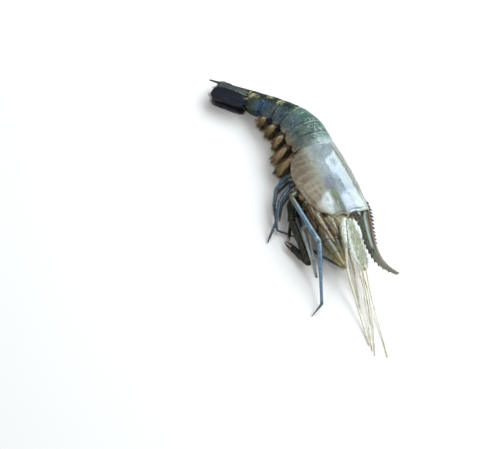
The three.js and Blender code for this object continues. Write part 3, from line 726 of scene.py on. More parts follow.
def mouth_look():
    """The outer mouth limb: brown at its root, slate-green in the middle and gold towards its tip."""
    look = plain_look("mouthpart", (88, 76, 48), (44, 38, 24), (136, 122, 82), 1.6, 0.3, Coat_Weight=0.45)
    share, _, number = look.form
    tones = look.stops(
        share + number + look.grain(3) * 0.3,
        (0, 92, 72, 42), (0.8, 64, 52, 32), (1.3, 58, 64, 48), (2, 84, 84, 56), (2.7, 136, 122, 68),
        (3, 156, 140, 86),
    )
    look.tint(tones, 0.65)


def lobe_look():
    """A swimming leg's lobe: brown and olive, with pale ribs that fan out along it and a dark edge."""
    tones = (112, 84, 44), (50, 35, 16), (158, 130, 78)
    look = plain_look("swimming leg", *tones, 1.2, Coat_Weight=0.35, Roughness=0.5)
    share, across, _ = look.form
    warp = look.grain(5) * 2.6
    ribs = (across * 12 + warp).wave()
    pale = ribs.rise(0.35, 1.0) * look.grain(2, seed=14).rise(-0.35, 0.25)
    look.tint((204, 176, 120), pale * 0.6)
    look.tint((42, 32, 17), (0 - ribs).rise(0.2, 1.0) * 0.6)
    look.tint((66, 70, 46), (share + warp * 0.1).rise(0.5, 1.0) * 0.5)
    look.tint((40, 30, 17), across.size().rise(0.78, 1.0) * 0.7)


def scale_look():
    """The feeler's scale: thin and milky, whitest along its stiff edge, veined and mottled beyond."""
    look = plain_look("antennal scale", (170, 176, 152), (128, 134, 104), (204, 208, 190), 1.6, Coat_Weight=0.6)
    share, across, _ = look.form
    veins = (across * 20 + share * 9 + look.grain(4) * 4).wave()
    beyond = (across + look.grain(3) * 0.4).rise(-0.8, -0.35)
    look.tint((224, 230, 220), (1 - beyond) * 0.85)
    look.tint((116, 124, 96), veins.rise(0.3, 1.0) * beyond * 0.6)
    for colour, grain, low, high in (
        ((98, 112, 70), look.grain(2.0, 3, (1.3, 0.4, 1), 17), 0.04, 0.32),
        ((226, 228, 214), look.grain(1.2, 3, (1.4, 0.3, 1), 19), 0.1, 0.3),
    ):
        look.tint(colour, grain.rise(low, high) * beyond * 0.7)


def blue_look():
    """The blue walking leg: olive near the body, then blue with darker clouds, and slate towards its tip."""
    look = plain_look("blue leg", (74, 106, 126), (34, 52, 68), (132, 160, 176), 1.3, 0.4, Coat_Weight=0.6)
    share, _, number = look.form
    place = share + number + look.grain(4) * 0.12
    look.tint((84, 88, 72), place.fall(1.12, 1.42))
    look.tint((92, 108, 128), place.rise(2.3, 2.9) * 0.6)
    look.tint((84, 78, 64), place.rise(2.9, 3.1) * 0.8)
    # painted highlights: pale flecks at the second joint
    joint = place.band(1.93, 2.05, 0.06)
    look.tint((176, 196, 204), joint * look.grain(1.2).rise(-0.1, 0.3) * 0.8)
    look.tint((52, 62, 60), share.band(0.985, 1.0, 0.012) * 0.7)


def eye_look():
    """The eye: a black glassy dome on a brown stalk."""
    look = Look("eye", Coat_Roughness=0.03, Coat_IOR=1.7, Roughness=0.3, IOR=1.5)
    look.colour = look.stops(
        look.form[0] + look.grain(1.0) * 0.08,
        (0, 112, 80, 52), (0.42, 88, 58, 42), (0.53, 66, 40, 44), (0.66, 30, 22, 30), (1, 18, 14, 22),
    )
    facets = {"Vector": look.at, "Scale": 1 / (0.16 * MM)}
    look.relief(look.node("ShaderNodeTexVoronoi", {}, facets).outputs["Distance"], 0.01)


for paint_one in (
    carapace_look, rostrum_look, flesh_look, face_look, mouth_look, lobe_look, scale_look, blue_look, eye_look,
):
    paint_one()
ring_look("abdomen shell", 1.33)
ring_look("rear abdomen shell", 1.12)
for name, base, rim, rib, light, coat, refraction in (
    # on the tail fan, the lighter navy of the ribs and light clouds is a painted blue sheen over its black
    ("tail fan", (9, 12, 19), (5, 6, 9), (14, 22, 42), (20, 30, 54), 0.4, 1.25),
    ("inner tail blade", (54, 62, 60), (24, 28, 28), (110, 110, 88), (118, 128, 126), 0.6, 1.45),
    ("telson", (68, 72, 62), (32, 36, 30), (124, 122, 98), (120, 126, 114), 0.5, 1.35),
):
    blade_look(name, base, rim, rib, light, Coat_Weight=coat, IOR=refraction)
for name, base, dark, light, joint, coat, refraction in (
    ("slate leg", (58, 74, 90), (30, 42, 52), (104, 120, 132), (80, 78, 60), 0.3, 1.35),
    ("dark leg", (32, 34, 21), (15, 17, 10), (66, 66, 44), (62, 44, 27), 0.12, 1.25),
    ("pale leg", (146, 150, 146), (104, 110, 104), (182, 186, 180), (116, 116, 92), 0.4, 1.35),
):
    limb_look(name, base, dark, light, joint, Coat_Weight=coat, IOR=refraction)
# each with its main, dark and light colour, its clouds' size in mm, its specks, its wet coat and refraction
for name, base, dark, light, size, specks, coat, refraction in (
    ("rostrum teeth", (44, 31, 22), (24, 17, 12), (84, 64, 46), 1.2, 0, 0.2, 1.3),
    ("swimming leg root", (84, 66, 42), (42, 32, 20), (130, 108, 74), 1.6, 0.3, 0.4, 1.45),
    ("bristles", (112, 92, 60), (66, 52, 32), (150, 130, 92), 3, 0, 0.2, 1.45),
    ("mouth bristles", (146, 132, 78), (92, 78, 42), (186, 172, 118), 3, 0, 0.2, 1.45),
    ("dark bristles", (38, 40, 44), (20, 22, 26), (70, 66, 58), 3, 0, 0.3, 1.45),
    ("pale bristles", (176, 180, 160), (140, 144, 124), (204, 206, 190), 3, 0, 1, 1.45),
    ("feeler", (204, 196, 168), (150, 134, 102), (228, 224, 206), 2.4, 0, 1, 1.45),
    ("feeler root", (194, 200, 182), (150, 154, 130), (222, 226, 214), 2.0, 0.3, 0.7, 1.45),
    ("mouth folds", (112, 104, 72), (64, 48, 28), (164, 154, 114), 1.4, 0.3, 0.4, 1.45),
    ("mouth muscles", (76, 54, 30), (32, 22, 12), (128, 102, 60), 1.4, 0.3, 0.3, 1.35),
    ("leg roots", (108, 80, 46), (40, 28, 14), (178, 146, 92), 1.0, 0.4, 0.6, 1.45),
    ("dark palm", (12, 15, 12), (7, 8, 7), (30, 36, 30), 2, 0.3, 0.12, 1.25),
    ("brown claw", (58, 38, 26), (30, 20, 14), (96, 68, 46), 1.6, 0.3, 0.2, 1.3),
):
    plain_look(name, base, dark, light, size, specks, Coat_Weight=coat, IOR=refraction)
for look in LOOKS.values():
    look.paint()


# ---- shells


def shell_outline(turn, size, grow):
    """A shell's outline at one station: over the back to its margins, then round the hollow between them."""
    side = -1 if turn < 0 else 1
    turn = abs(turn)
    half = size["half"] + grow
    if turn <= MARGIN_TURN + 1e-6:
        below = (size["widest"] - size["margin"] + grow) / -math.cos(MARGIN_TURN)
        reach = size["back"] + grow - size["widest"] if turn < math.pi / 2 else below
        return size["widest"] + reach * math.cos(turn), side * half * math.sin(turn) ** FLANK_POWER
    inner = half * math.sin(MARGIN_TURN) ** FLANK_POWER - LIP - 2 * max(grow, 0)
    u = (turn - MARGIN_TURN) / (math.pi - MARGIN_TURN)
    rise = min(u * 2.5, 1) * size["recess"]
    return size["margin"] - grow + rise + 0.6 * min(u, 1), side * inner * max(1 - u, 0) ** 0.8


def shell(begin, end, size_at, slips, rows, sides, relief, look, square=False):
    """A shell's skin from rows of (share along, mm further back, scale of its outline, mm outwards).
    The slips move its front end, its rear end and the very edge of its front back along the body.
    Its pattern follows its slanted ends where it is square to the ring, and the body's stations if not."""

    def place(row, turn):
        share, further, scale, grow = rows[row]
        size = size_at(min(max(share, 0), 1))
        front, rear, edge = (slip(lerp(math.pi / 2, abs(turn), scale)) for slip in slips)
        s = lerp(begin + front, end + rear, share) + further + edge * (1 - smooth(share, 0, 0.09))
        if scale == 1:
            grow += relief(share, turn, s)
        y, z = shell_outline(turn, size, grow)
        y = size["widest"] + 2 + scale * (y - size["widest"] - 2)
        station = lerp(begin, end, share) + further if square else s
        return body(s, y, scale * z), (station, y, scale * z)

    return wrapped(len(rows), sides, place, look)


def flank_share(turn):
    """Nothing at the back, all of it on the flanks and below."""
    return smooth(abs(turn), math.radians(10), math.radians(95))


def lumps(s, turn, size, seed=0):
    """Gentle unevenness over a shell."""
    return noise.noise(Vector((s / size, 14 * turn / size, seed)))


def margin_bead(turn, width=2.6, height=0.3):
    """The thickened rim along a shell's lower margin."""
    return height * hump(math.degrees(abs(turn)), 136.5, width)


def carapace_front(turn):
    """How far the slanted front margin lies behind the orbit."""
    return along(FRONT_SLANT, math.degrees(abs(turn)))


def orbit(turn):
    """The notch in the front margin for the eye, and the point below it."""
    degrees = math.degrees(abs(turn))
    return 1.7 * hump(degrees, 58, 9) - 1.6 * hump(degrees, 77, 4.5)


def carapace_relief(share, turn, s):
    """Keel, grooves and rims on the carapace."""
    degrees = math.degrees(abs(turn))
    edge = s - carapace_front(turn) - orbit(turn)
    lift = 0.28 * lumps(s, turn, 11) + 0.15 * lumps(s, turn, 5, 5)
    lift += 0.5 * hump(degrees, 0, 6) * (1 - smooth(s, 20, 50))
    lift -= 0.4 * hump(degrees, 88 + 0.35 * (s - 14), 4) * smooth(s, 7, 12) * (1 - smooth(s, 24, 34))
    lift -= 0.35 * hump(s, 25 - 0.14 * degrees, 1.5) * smooth(degrees, 12, 25) * (1 - smooth(degrees, 62, 80))
    lift -= 0.22 * hump(degrees, 112 - 0.12 * s, 5) * smooth(s, 20, 30) * (1 - smooth(s, 50, 62))
    lift -= 0.05 * hump(edge, 2.4, 1.0) * smooth(degrees, 50, 70)
    rear = CARAPACE_LENGTH + REAR_BULGE * flank_share(turn) - s
    lift += 0.05 * hump(rear, 0.5, 0.6) - 0.05 * hump(rear, 1.9, 0.7)
    return lift + margin_bead(turn)


def carapace():
    """The head shell with its beak."""

    def size_at(share):
        s = share * CARAPACE_LENGTH
        return {
            "back": along(CARAPACE_BACK, s), "margin": along(CARAPACE_MARGIN, s),
            "half": along(CARAPACE_HALF_WIDTH, s), "widest": CARAPACE_WIDEST, "recess": RECESS,
        }

    rows = [(0, 7, 0, 0), (0, 7, 0.5, 0), (0, 6.4, 0.8, 0), (0, 4.6, 0.88, 0), (0, 1.6, 0.925, 0)]
    rows += [(0, 0.3, 0.945, 0), (0, 0, 0.965, 0), (0, 0, 0.985, 0)]
    rows += [(0, mm, 1, -0.12 if mm < 0.2 else 0) for mm in (0.06, 0.3, 0.6, 0.95, 1.35, 1.8, 2.3)]
    rows += [(lerp(0.045, 0.97, k / 96), 0, 1, 0) for k in range(97)]
    rows += [(1, mm, 1, 0) for mm in (-1.5, -1.05, -0.7, -0.4, -0.15)]
    rows += [(1, 0, 1, -0.2), (1, 0, 1, -0.5), (1, -0.5, 1, -0.7), (1, -2, 0.9, 0), (1, -2, 0, 0)]
    slips = (carapace_front, lambda turn: REAR_BULGE * flank_share(turn), orbit)
    skin = shell(0, CARAPACE_LENGTH, size_at, slips, rows, 180, carapace_relief, "carapace shell")
    ends = [((1.4, -0.2, 9.8), (-2.2, -0.9, 9.6), 0.6), ((13.5, -3.2, 14.1), (8.4, -4.0, 13.6), 0.8)]
    side_thorns = thorns(ends, "carapace shell")
    return joined("carapace_shell", [skin, beak(), *beak_teeth(), *side_thorns])


def beak():
    """The rostrum's blade, thin at both edges with a ridge along each side."""

    def place(share, size, turn):
        x = lerp(ROSTRUM_ROOT, ROSTRUM_LENGTH, share)
        low, high = along(ROSTRUM_BELLY, x) - 0.2, along(ROSTRUM_BACK, x) + 0.2
        height = size * math.cos(turn)
        thin = 1 - 0.6 * smooth(share, 0.7, 1)
        thick = ROSTRUM_HALF_THICKNESS * thin * abs(math.sin(turn)) ** 1.15
        thick += 0.32 * hump(height, 0.06, 0.14) * (1 - smooth(x, 22, 40)) * smooth(x, -20, -8)
        thick -= 0.2 * hump(height, 0.42, 0.12) * (1 - smooth(x, 30, 45))
        side = -1 if turn < 0 else 1
        y = (low + high) / 2 + height * (high - low) / 2
        return body(-x, y, side * size * thick), (x, height, 0)

    return closed_skin(111, 40, place, "rostrum")


def beak_teeth():
    """Saw teeth that lean forward along both edges, and three small points at the tip."""
    teeth = []
    for stops, count, first, last, tall, up in (
        (ROSTRUM_BACK, 12, -6, 27, 1.6, 1), (ROSTRUM_BELLY, 9, 19, 52, 1.2, -1),
    ):
        for k in range(count):
            share = k / (count - 1)
            x = lerp(first, last, share)
            size = tall * lerp(1.15, 0.8, share) * draw.uniform(0.9, 1.1)
            edge = along(stops, x) + 0.15 * up
            base = body(0.9 * size - x, edge - 0.55 * up, 0)
            tip = body(-x - 1.05 * size, edge + 0.72 * size * up, 0)
            teeth.append(spike(base, tip, 0.8 * size, "rostrum teeth", way(0, up) * 0.5 * size, 0.55))
    for x, lift in ((52.5, 0.4), (55.5, 0.5)):
        edge = along(ROSTRUM_BACK, x)
        teeth.append(spike(body(-x, edge - 0.2, 0), body(-x - 1.6, edge + lift + 0.4, 0), 0.4, "rostrum teeth"))
    return teeth


def ring_slip(i, turn):
    """How far a joint between two shells lies behind its place at the back."""
    if i == 0:
        return REAR_BULGE * flank_share(turn)
    return 0 if i == len(SOMITES) else RING_BULGE * flank_share(turn)


def abdomen_ring(i):
    """One ring of the abdomen. The second ring's flanks lie over both of its neighbours."""
    ring = SOMITES[i]
    begin = STRETCHES[i + 1]["start"]
    length = ring["length"]

    def size_at(share):
        size = {part: lerp(*ring[part], share) for part in ("back", "margin", "half")}
        size["margin"] += LOBE * (2 * share - 1) ** 2
        return {**size, "widest": -2.5 * (1 - i / 8), "recess": 1.2 if i == LAST_RING else 3.4}

    def over(turn):
        return smooth(math.degrees(abs(turn)), 88, 116) if i == OVERLAPPING_RING else 0

    def relief(share, turn, s):
        degrees = math.degrees(abs(turn))
        behind = s - (begin + ring_slip(i, turn))
        ahead = begin + length + ring_slip(i + 1, turn) - s
        lift = lerp(-1.25 * (1 - smooth(behind, -2.6, 2.4)), 0.45 * (1 - smooth(behind, 3, 7)), over(turn))
        lift += 0.24 * lumps(s, turn, 8, i) + 0.14 * lumps(s, turn, 3.5, i + 9)
        lift += 0.4 * hump(degrees, 98, 6) * hump(ahead, 1.6, 2.2)
        lift -= 0.25 * hump(degrees, 106, 5) * hump(behind, 0.5 * length, 0.28 * length)
        return lift + margin_bead(turn, 3, 0.28)

    rows = [(0, -2.6, 0, 0), (0, -2.6, 0.8, 0), (0, -2.5, 0.93, 0)]
    rows += [(0, mm, 1, 0) for mm in (-2.2, -1.6, -1.0, -0.5, 0, 0.4, 0.8, 1.2, 1.6, 2.0, 2.5)]
    count = round(length * 2.2)
    rows += [(lerp(3 / length, 1 - 2.7 / length, k / (count - 1)), 0, 1, 0) for k in range(count)]
    rows += [(1, mm, 1, 0) for mm in (-2.3, -1.9, -1.5, -1.1, -0.75, -0.45, -0.2)]
    rows += [(1, -0.02, 1, -0.12), (1, 0, 1, -0.4), (1, -0.5, 1, -0.6), (1, -1.6, 0.85, 0), (1, -1.6, 0, 0)]
    slips = (
        lambda turn: ring_slip(i, turn) - 2.2 * over(turn),
        lambda turn: ring_slip(i + 1, turn) + 1.2 * over(turn),
        lambda turn: 0,
    )
    look = "abdomen shell" if i < GLOSSY_RINGS else "rear abdomen shell"
    parts = [shell(begin, begin + length, size_at, slips, rows, 144, relief, look, True)]
    if i == LAST_RING:
        upper = (TAIL - 2, 3.6, 6.4), (TAIL + 2.2, 3.4, 6.1), 0.8
        lower = (TAIL - 2.4, -5.2, 6.6), (TAIL + 2.4, -6.2, 6.3), 0.8
        parts += thorns([lower, upper], "tail fan")
    return joined(f"ring_shell_{i + 1}", parts)


# ---- blades and lobes


class Blade:
    """A leaf-shaped blade, with an edge that bristles can be set on."""

    def __init__(
        self, root, tip, across, half_width, half_thickness, outline, curl, cup, rib, grooves, ragged=0
    ):
        self.root = root
        self.length = tip - root
        self.wide = (across - self.length * (across.dot(self.length) / self.length.length_squared)).normalized()
        self.thick = self.length.cross(self.wide).normalized()
        self.half_width, self.half_thickness, self.outline = half_width, half_thickness, outline
        self.curl, self.cup, self.rib, self.grooves, self.ragged = curl, cup, rib, grooves, ragged

    def middle(self, share, across):
        """A point halfway through the blade."""
        bow = self.curl * math.sin(math.pi * share) + self.cup * across * across * math.sin(math.pi * share)
        wave = math.sin(share * 41) + 0.7 * math.sin(share * 67 + 1) + 0.5 * math.sin(share * 113)
        out = self.half_width * along(self.outline, share) * across * (1 + self.ragged * wave)
        return self.root + self.length * share + (self.wide * out + self.thick * bow) * MM

    def skin(self, count, sides, look):
        def place(share, size, turn):
            across = size * math.cos(turn)
            thick = self.half_thickness * lerp(1, 0.55, share) * math.sin(turn)
            face = 1 if turn > 0 else -1
            thick += face * self.rib * hump(across, 0, 0.09) * (1 - share) * abs(math.sin(turn))
            fan = math.sin(across * 26 + share * 3)
            thick -= face * self.grooves * (0.5 + 0.5 * fan) * abs(math.sin(turn)) * smooth(share, 0, 0.2)
            point = self.middle(share, across) + self.thick * (size * thick * MM)
            point.z = max(point.z, FLOOR_GAP * MM)
            return point, (share, across, size)

        return closed_skin(count, sides, place, look)

    def bristles(self, first, count, reach, radius, look, edges, lean, droop=0):
        """A fringe from a share of the length to the tip, along the given edges."""
        roots = []
        for side in edges:
            for k in range(count):
                share = lerp(first, 1.0, (k + draw.uniform(0.1, 0.9)) / count)
                base = self.middle(share, 0.96 * side)
                near = 0.5 * (1 - smooth(share, first, first + 0.2))
                forward = lean + 2.2 * smooth(share, 0.86, 1.0)
                ahead = (self.wide * side + self.length.normalized() * forward).normalized()
                ahead += self.thick * draw.uniform(-0.12, 0.12)
                roots.append((base, base + ahead * (reach * MM * draw.uniform(0.75, 1.1) * (1 - near))))
        return hairs(roots, radius, look, droop)


PADDLE = [(0, 0.3), (0.2, 0.72), (0.55, 1), (0.85, 0.82), (0.95, 0.5), (1, 0.16)]
LEAF = [(0, 0.72), (0.12, 0.92), (0.5, 1), (0.85, 0.85), (0.95, 0.6), (1, 0.3)]
LOBE_OUTLINE = [(0, 0.5), (0.25, 0.95), (0.5, 1), (0.75, 0.74), (0.92, 0.4), (1, 0.1)]
TELSON_OUTLINE = [(0, 1), (0.4, 0.78), (0.8, 0.42), (1, 0.1)]

# ---- tail


def telson():
    """The tail's middle piece: a keeled taper with small thorns on its back and at its point."""

    def sizes_at(share):
        """How far it lies behind the last ring, half its width, its height and its thickness."""
        behind = share * (TELSON_LENGTH + TELSON_STRETCH * share)
        half = TELSON_HALF_WIDTH * along(TELSON_OUTLINE, share) + 0.2
        return behind, half, lerp(8.8, 6.9, share), lerp(2.3, 0.8, share)

    def place(share, size, turn):
        behind, half, height, thick = sizes_at(share)
        degrees = abs(math.degrees(turn))
        thick += 0.35 * hump(degrees, 0, 16) * (1 - share) - 0.2 * hump(degrees, 40, 14) * (1 - share)
        point = body(TAIL + 0.3 + behind, height + size * thick * math.cos(turn), size * half * math.sin(turn))
        return point, (share, math.sin(turn) * size, size)

    parts = [closed_skin(55, 48, place, "telson")]
    for share in (0.5, 0.72):
        behind, half, height, thick = sizes_at(share)
        s, top, out = TAIL + behind, height + thick * 0.75, half * 0.45
        parts += thorns([((s, top - 0.2, out), (s + 2.3, top + 0.7, out * 0.95), 0.3)], "telson")
    parts += thorns([((TAIL + 34, 7.0, 1.0), (TAIL + 38, 7.0, 1.9), 0.32)], "telson")
    return joined("telson_shell", parts)


FAN = table(
    "kind root tip half lean look",
    ("outer", (-0.8, -4.5, 6.6), (31, -4.2, 5.1), 7.2, 0.12, "tail fan"),
    ("inner", (1.2, 2.7, 5), (30, 3.5, 2.6), 5.05, 0.1, "inner tail blade"),
)
# the thick root of the outer blade: its centre, radius and share along
FAN_ROOT = [
    (-1.5, -1.5, 5.6, 0, 0), (-1.4, -1.5, 5.6, 1.8, 0), (0.5, -1.9, 6.0, 2.5, 0.2), (2.6, -2.4, 6.2, 2.7, 0.6),
    (4, -2.7, 6.2, 2.2, 0.8), (5, -2.9, 6.1, 1.2, 0.9), (5.3, -2.9, 6.1, 0, 1),
]


def fan_blade(sizes, side):
    """One side blade of the tail fan, with its thick root, ribs, outer thorn and dark bristles."""

    def behind_rings(*points):
        return flanked(side, *[(TAIL + s, y, z) for s, y, z in points])

    s, y, z = sizes["root"]
    root, beside, tip = behind_rings((s, y, z), (s, y + 1, z - sizes["lean"]), sizes["tip"])
    across = beside - root
    blade = Blade(root, tip, across, sizes["half"], 0.75, LEAF, 0, -0.7 * side, 0.4, 0.12)
    parts = [blade.skin(60, 56, sizes["look"])]
    parts.append(blade.bristles(0.55, 55, 3.4, 0.11, "dark bristles", (1, -1), 1.6))
    if sizes["kind"] == "outer":
        parts.append(spike(blade.middle(0.8, -0.93), blade.middle(0.9, -1.05), 0.5, "tail fan"))
        stops = [(*behind_rings(centre), radius, (share, 0, 0)) for *centre, radius, share in FAN_ROOT]
        parts.append(tube(stops, 24, "tail fan", 0.6, across))
    return joined(f"fan_blade_{sizes['kind']}_{SIDES[side]}", parts)


# ---- swimming legs

PLEOPODS = table(
    "station depth reach lean half",
    (73, -12, 24, 9.5, 4.2), (84.5, -12.5, 23, 8.5, 4.4), (98.5, -10.5, 18, 6, 4.3), (113, -9, 13.5, -4, 3.9),
    (126, -7.5, 9, -3, 3.3),
)
PLEOPOD_ROOT = [(-0.04, 0.4), (0.02, 0.62), (0.12, 0.78), (0.25, 0.8), (0.36, 0.7), (0.42, 0.66), (0.46, 0.5)]
PLEOPOD_LOBES = table(
    "forward out length wide cup curl",
    (1.4, 0.9, 1.04, 0.44, 0.9, 1.6), (0.1, 0.1, 0.93, 0.4, -0.5, 0.6), (-1.5, -0.8, 0.98, 0.42, -0.9, -0.8),
)


def pleopod(i, side):
    """A swimming leg: a broad root that carries three narrow lobes, each fringed with bristles."""
    sizes = PLEOPODS[i]
    half = sizes["half"]

    def at(share, forward=0, out=0):
        s = sizes["station"] - sizes["lean"] * share - forward
        return body(s, sizes["depth"] - sizes["reach"] * share, side * (lerp(5.5, 5, share) + out))

    ahead = at(0, 1) - at(0)
    stops = [(at(share), half * size, (share * 2, 0, 0)) for share, size in PLEOPOD_ROOT]
    stops = [(at(-0.04), 0, (0, 0, 0)), *stops, (at(0.47), 0, (1, 0, 0))]
    parts = [tube(stops, 24, "swimming leg root", 0.42, ahead)]
    for lobe in PLEOPOD_LOBES:
        out = lobe["out"]
        length = lobe["length"] * draw.uniform(0.88, 1.06)
        forward = lobe["forward"] + draw.uniform(-0.7, 0.7)
        blade = Blade(
            at(0.2, forward * 0.8, out), at(length, forward * 2.3, out * 1.4), ahead, half * lobe["wide"], 0.42,
            LOBE_OUTLINE, lobe["curl"] * side, lobe["cup"], 0.3, 0.18, 0.05,
        )
        parts.append(blade.skin(34, 36, "swimming leg"))
        count = round(22 + 1.6 * sizes["reach"])
        parts.append(blade.bristles(0.2, count, 2.6, 0.1, "bristles", (1, -1), 1.5, 0.2))
    return joined(f"swimming_leg_{SIDES[side]}_{i + 1}", parts)


# ---- head

EYE_RADIUS = 2.9


def eye(side):
    """A domed eye on a short stalk."""
    centre, foot = flanked(side, (-2.6, 6.3, 10.6), (0.6, 4.4, 3.6))
    out = (centre - foot).normalized()
    stalk = (0, 0), (0, 1.4), (0.2, 1.9), (0.4, 1.75), (0.52, 1.7)
    stops = [(foot.lerp(centre, share), size, (share * 0.5, 0, 0)) for share, size in stalk]
    for degrees in (*range(-50, 61, 10), 68, 75, 81, 86):
        angle = math.radians(degrees)
        ring_centre = centre + out * (EYE_RADIUS * MM * math.sin(angle))
        stops.append((ring_centre, EYE_RADIUS * math.cos(angle), (0.55 + (degrees + 55) / 330, 0, 0)))
    stops.append((centre + out * EYE_RADIUS * MM, 0, (1, 0, 0)))
    return joined(f"eye_{SIDES[side]}_dome", [tube(stops, 40, "eye")])


def peduncle(points, sizes, joints, sides):
    """A feeler's jointed root, swollen before each of its joints."""
    rings = 56
    path = curve_points(points, rings)
    stops = [(path[0], 0, (0, 0, 0))]
    for i, point in enumerate(path):
        share = i / (rings - 1)
        radius = along(sizes, share)
        for joint in joints:
            radius *= 1 + 0.1 * hump(share, joint - 0.025, 0.03) - 0.16 * hump(share, joint + 0.02, 0.016)
        stops.append((point, radius, (share, 0, 0)))
    stops.append((path[-1], 0, (1, 0, 0)))
    return tube(stops, sides, "feeler root")


ANTENNA_TAILS = {
    1: [(37.7, -26.2, 15.5), (62, -29.2, 7), (80, -31.6, 2), (94.5, -33.4, 0.85)],
    -1: [(33, -17.4, 3.6), (50, -22, 1.3), (69.4, -28.7, 0.85)],
}
ANTENNULE_TAILS = {
    1: [
        [(36, -16.6, 16.5), (51.6, -19.3, 10.5), (69.5, -24.2, 4.4), (86, -29.4, 1.2), (99.4, -33.5, 0.6)],
        [(38, -15.8, 18.5), (46, -20.3, 15.5)],
        [(40.3, -13.9, 12), (58, -17.1, 6.6), (74, -21.5, 2.6), (90, -27.6, 1), (103.3, -33.3, 0.6)],
    ],
    -1: [
        [(36, -12.6, 11.6), (50, -16.5, 6), (80, -24.6, 0.65)],
        [(32, -9.6, 13.6), (40, -11.6, 12.4)],
        [(37, -9.9, 12), (59, -15.2, 4.4), (92.5, -21.7, 0.9), (108.4, -25.1, 0.6)],
    ],
}


def antenna(side):
    """A long feeler on its three-jointed root."""
    points = flanked(side, (1, -4, 6), (-7, -8.4, 7.4), (-20, -12.4, 7.6))
    parts = [peduncle(points, [(0, 2.6), (0.4, 3.2), (0.7, 2.6), (1, 1.7)], (0.36, 0.66, 0.97), 28)]
    begin, *thorn = flanked(side, (-17, -11.4, 7.6), (-6, -8.6, 9.9), (-11, -11.4, 10.6))
    parts.append(whip([begin, *[lying(*p) for p in ANTENNA_TAILS[side]]], 1.3, 0.5, 190))
    parts.append(spike(*thorn, 0.8, "feeler root"))
    return joined(f"feeler_long_{SIDES[side]}", parts)


def antennule(side):
    """The small feelers: a jointed root with two long whips and a short one."""
    points = flanked(side, (-1, -1, 2.6), (-11, -0.4, 3), (-22, -2.2, 3.2))
    parts = [peduncle(points, [(0, 1.9), (0.4, 2.1), (0.5, 1.8), (1, 1.4)], (0.48, 0.76, 0.97), 24)]
    for k, tail in enumerate(ANTENNULE_TAILS[side]):
        first = body(-21, -2.2 + 0.75 * (k - 1), side * (3.2 + 0.5 * (k - 1)))
        parts.append(whip([first, *[lying(*p) for p in tail]], 0.72, 0.4, 150 if len(tail) > 2 else 40))
    roots = []
    for _ in range(26):
        base = body(-draw.uniform(4, 20), draw.uniform(0.6, 1.2), side * draw.uniform(2.4, 4))
        roots.append((base, base + way(1.6, 1.1) * draw.uniform(0.8, 1.2)))
    parts.append(hairs(roots, 0.06, "pale bristles"))
    return joined(f"feeler_short_{SIDES[side]}", parts)


def antennal_scale(side):
    """The broad scale beside each feeler, ribbed and fringed along its free edge."""
    root, tip = flanked(side, (-2, -1.2, 9.6), (-40.5, -8.6, 8))
    blade = Blade(root, tip, way(0, 1), 4.7, 0.6, PADDLE, 0.5 * side, 0.6 * side, 0.3, 0.22, 0.06)
    parts = [
        blade.skin(90, 64, "antennal scale"),
        blade.bristles(0.2, 75, 2.2, 0.09, "pale bristles", (1,), 0.9),
        blade.bristles(0.72, 30, 2.0, 0.09, "pale bristles", (-1,), 0.9),
        spike(blade.middle(0.8, -0.94), blade.middle(0.94, -1.05), 0.5, "antennal scale"),
    ]
    return joined(f"feeler_scale_{SIDES[side]}", parts)


def maxilliped(side):
    """The outermost mouthpart: three flattened stretches with bristles along the edges."""
    points = flanked(side, (4, -22.6, 8.4), (-9, -24.2, 8.4), (-21, -22.6, 7.4), (-32.6, -21.1, 6.4))
    radii = (3.2, 3.9, 2.9, 0.7)
    parts = limb(points, radii, 28, "mouthpart", 0.5)
    parts.append(edge_hairs(points, radii, 230, (0.02, 0.99), 0.7, (1, -1, -1), 0.9, (0.7, 1), (1.4, 3.2)))
    return joined(f"mouth_limb_{SIDES[side]}", parts)


# ---- legs

# each leg's root on the body, the length of its claw, its look, and its joints with the radius there
LEGS = {
    1: table(
        "hip claw look joints",
        (13, 5, "pale leg", [(-9, -43.5, 14.5, 1.3), (31, -49.3, 9.2, 1), (0, -41, 12.5, 1.2)]),
        (32.2, 9, "dark leg", [
            (-35, -41.5, 11.2, 3.3), (-20, -47.5, 11.2, 3.1), (17.5, -49.6, 7.4, 2.5), (8, -51.8, 4.6, 3.1),
            (0, -55, 4.4, 2.6),
        ]),
        (40, 0, "blue leg", [
            (-37, -41, 19.6, 2.1), (9.3, -37.7, 21.5, 1.9), (51.5, -54, 5, 1.15), (56.4, -64.4, 1.5, 0.3),
        ]),
        (48, 0, "slate leg", [
            (-47.5, -37, 14, 1.8), (-38.5, -50.5, 13.5, 1.5), (-25, -59, 8.6, 1.3), (-17, -68, 2.6, 0.9),
            (-14, -71, 1, 0.3),
        ]),
        (56, 0, "slate leg", [
            (-57, -35.5, 14, 1.8), (-51.4, -47.2, 11, 1.5), (-39.4, -54.3, 8.2, 1.4), (-20.2, -59.8, 3.2, 1),
            (-7, -45.4, 1.1, 0.5),
        ]),
    ),
    -1: table(
        "hip claw look joints",
        (12, 5, "pale leg", [(-4, -32.5, 5, 1.4), (12, -31.5, 4, 1.2)]),
        (24, 4.5, "dark leg", [(-26, -37, 6.4, 1.7), (-25, -45.5, 6.2, 1.5), (-11.5, -53.2, 4.4, 1.3)]),
        (33, 0, "slate leg", [
            (-31, -38, 3.4, 1.5), (3, -43.5, 2.6, 1.2), (25, -28.3, 2, 0.8), (29.4, -24.6, 1, 0.3),
        ]),
        (43, 0, "slate leg", [
            (-46, -36, 5, 1.5), (-38.5, -48, 5.2, 1.3), (-31, -52.5, 2.6, 0.9), (-28, -54, 1.2, 0.4),
        ]),
        (53, 0, "slate leg", [
            (-56, -34, 5, 1.5), (-51, -46.5, 4.4, 1.3), (-40, -53.5, 2.8, 0.9), (-35, -56, 1.2, 0.4),
        ]),
    ),
}
GREAT_CLAW = 9
LEG_HAIRS = 46


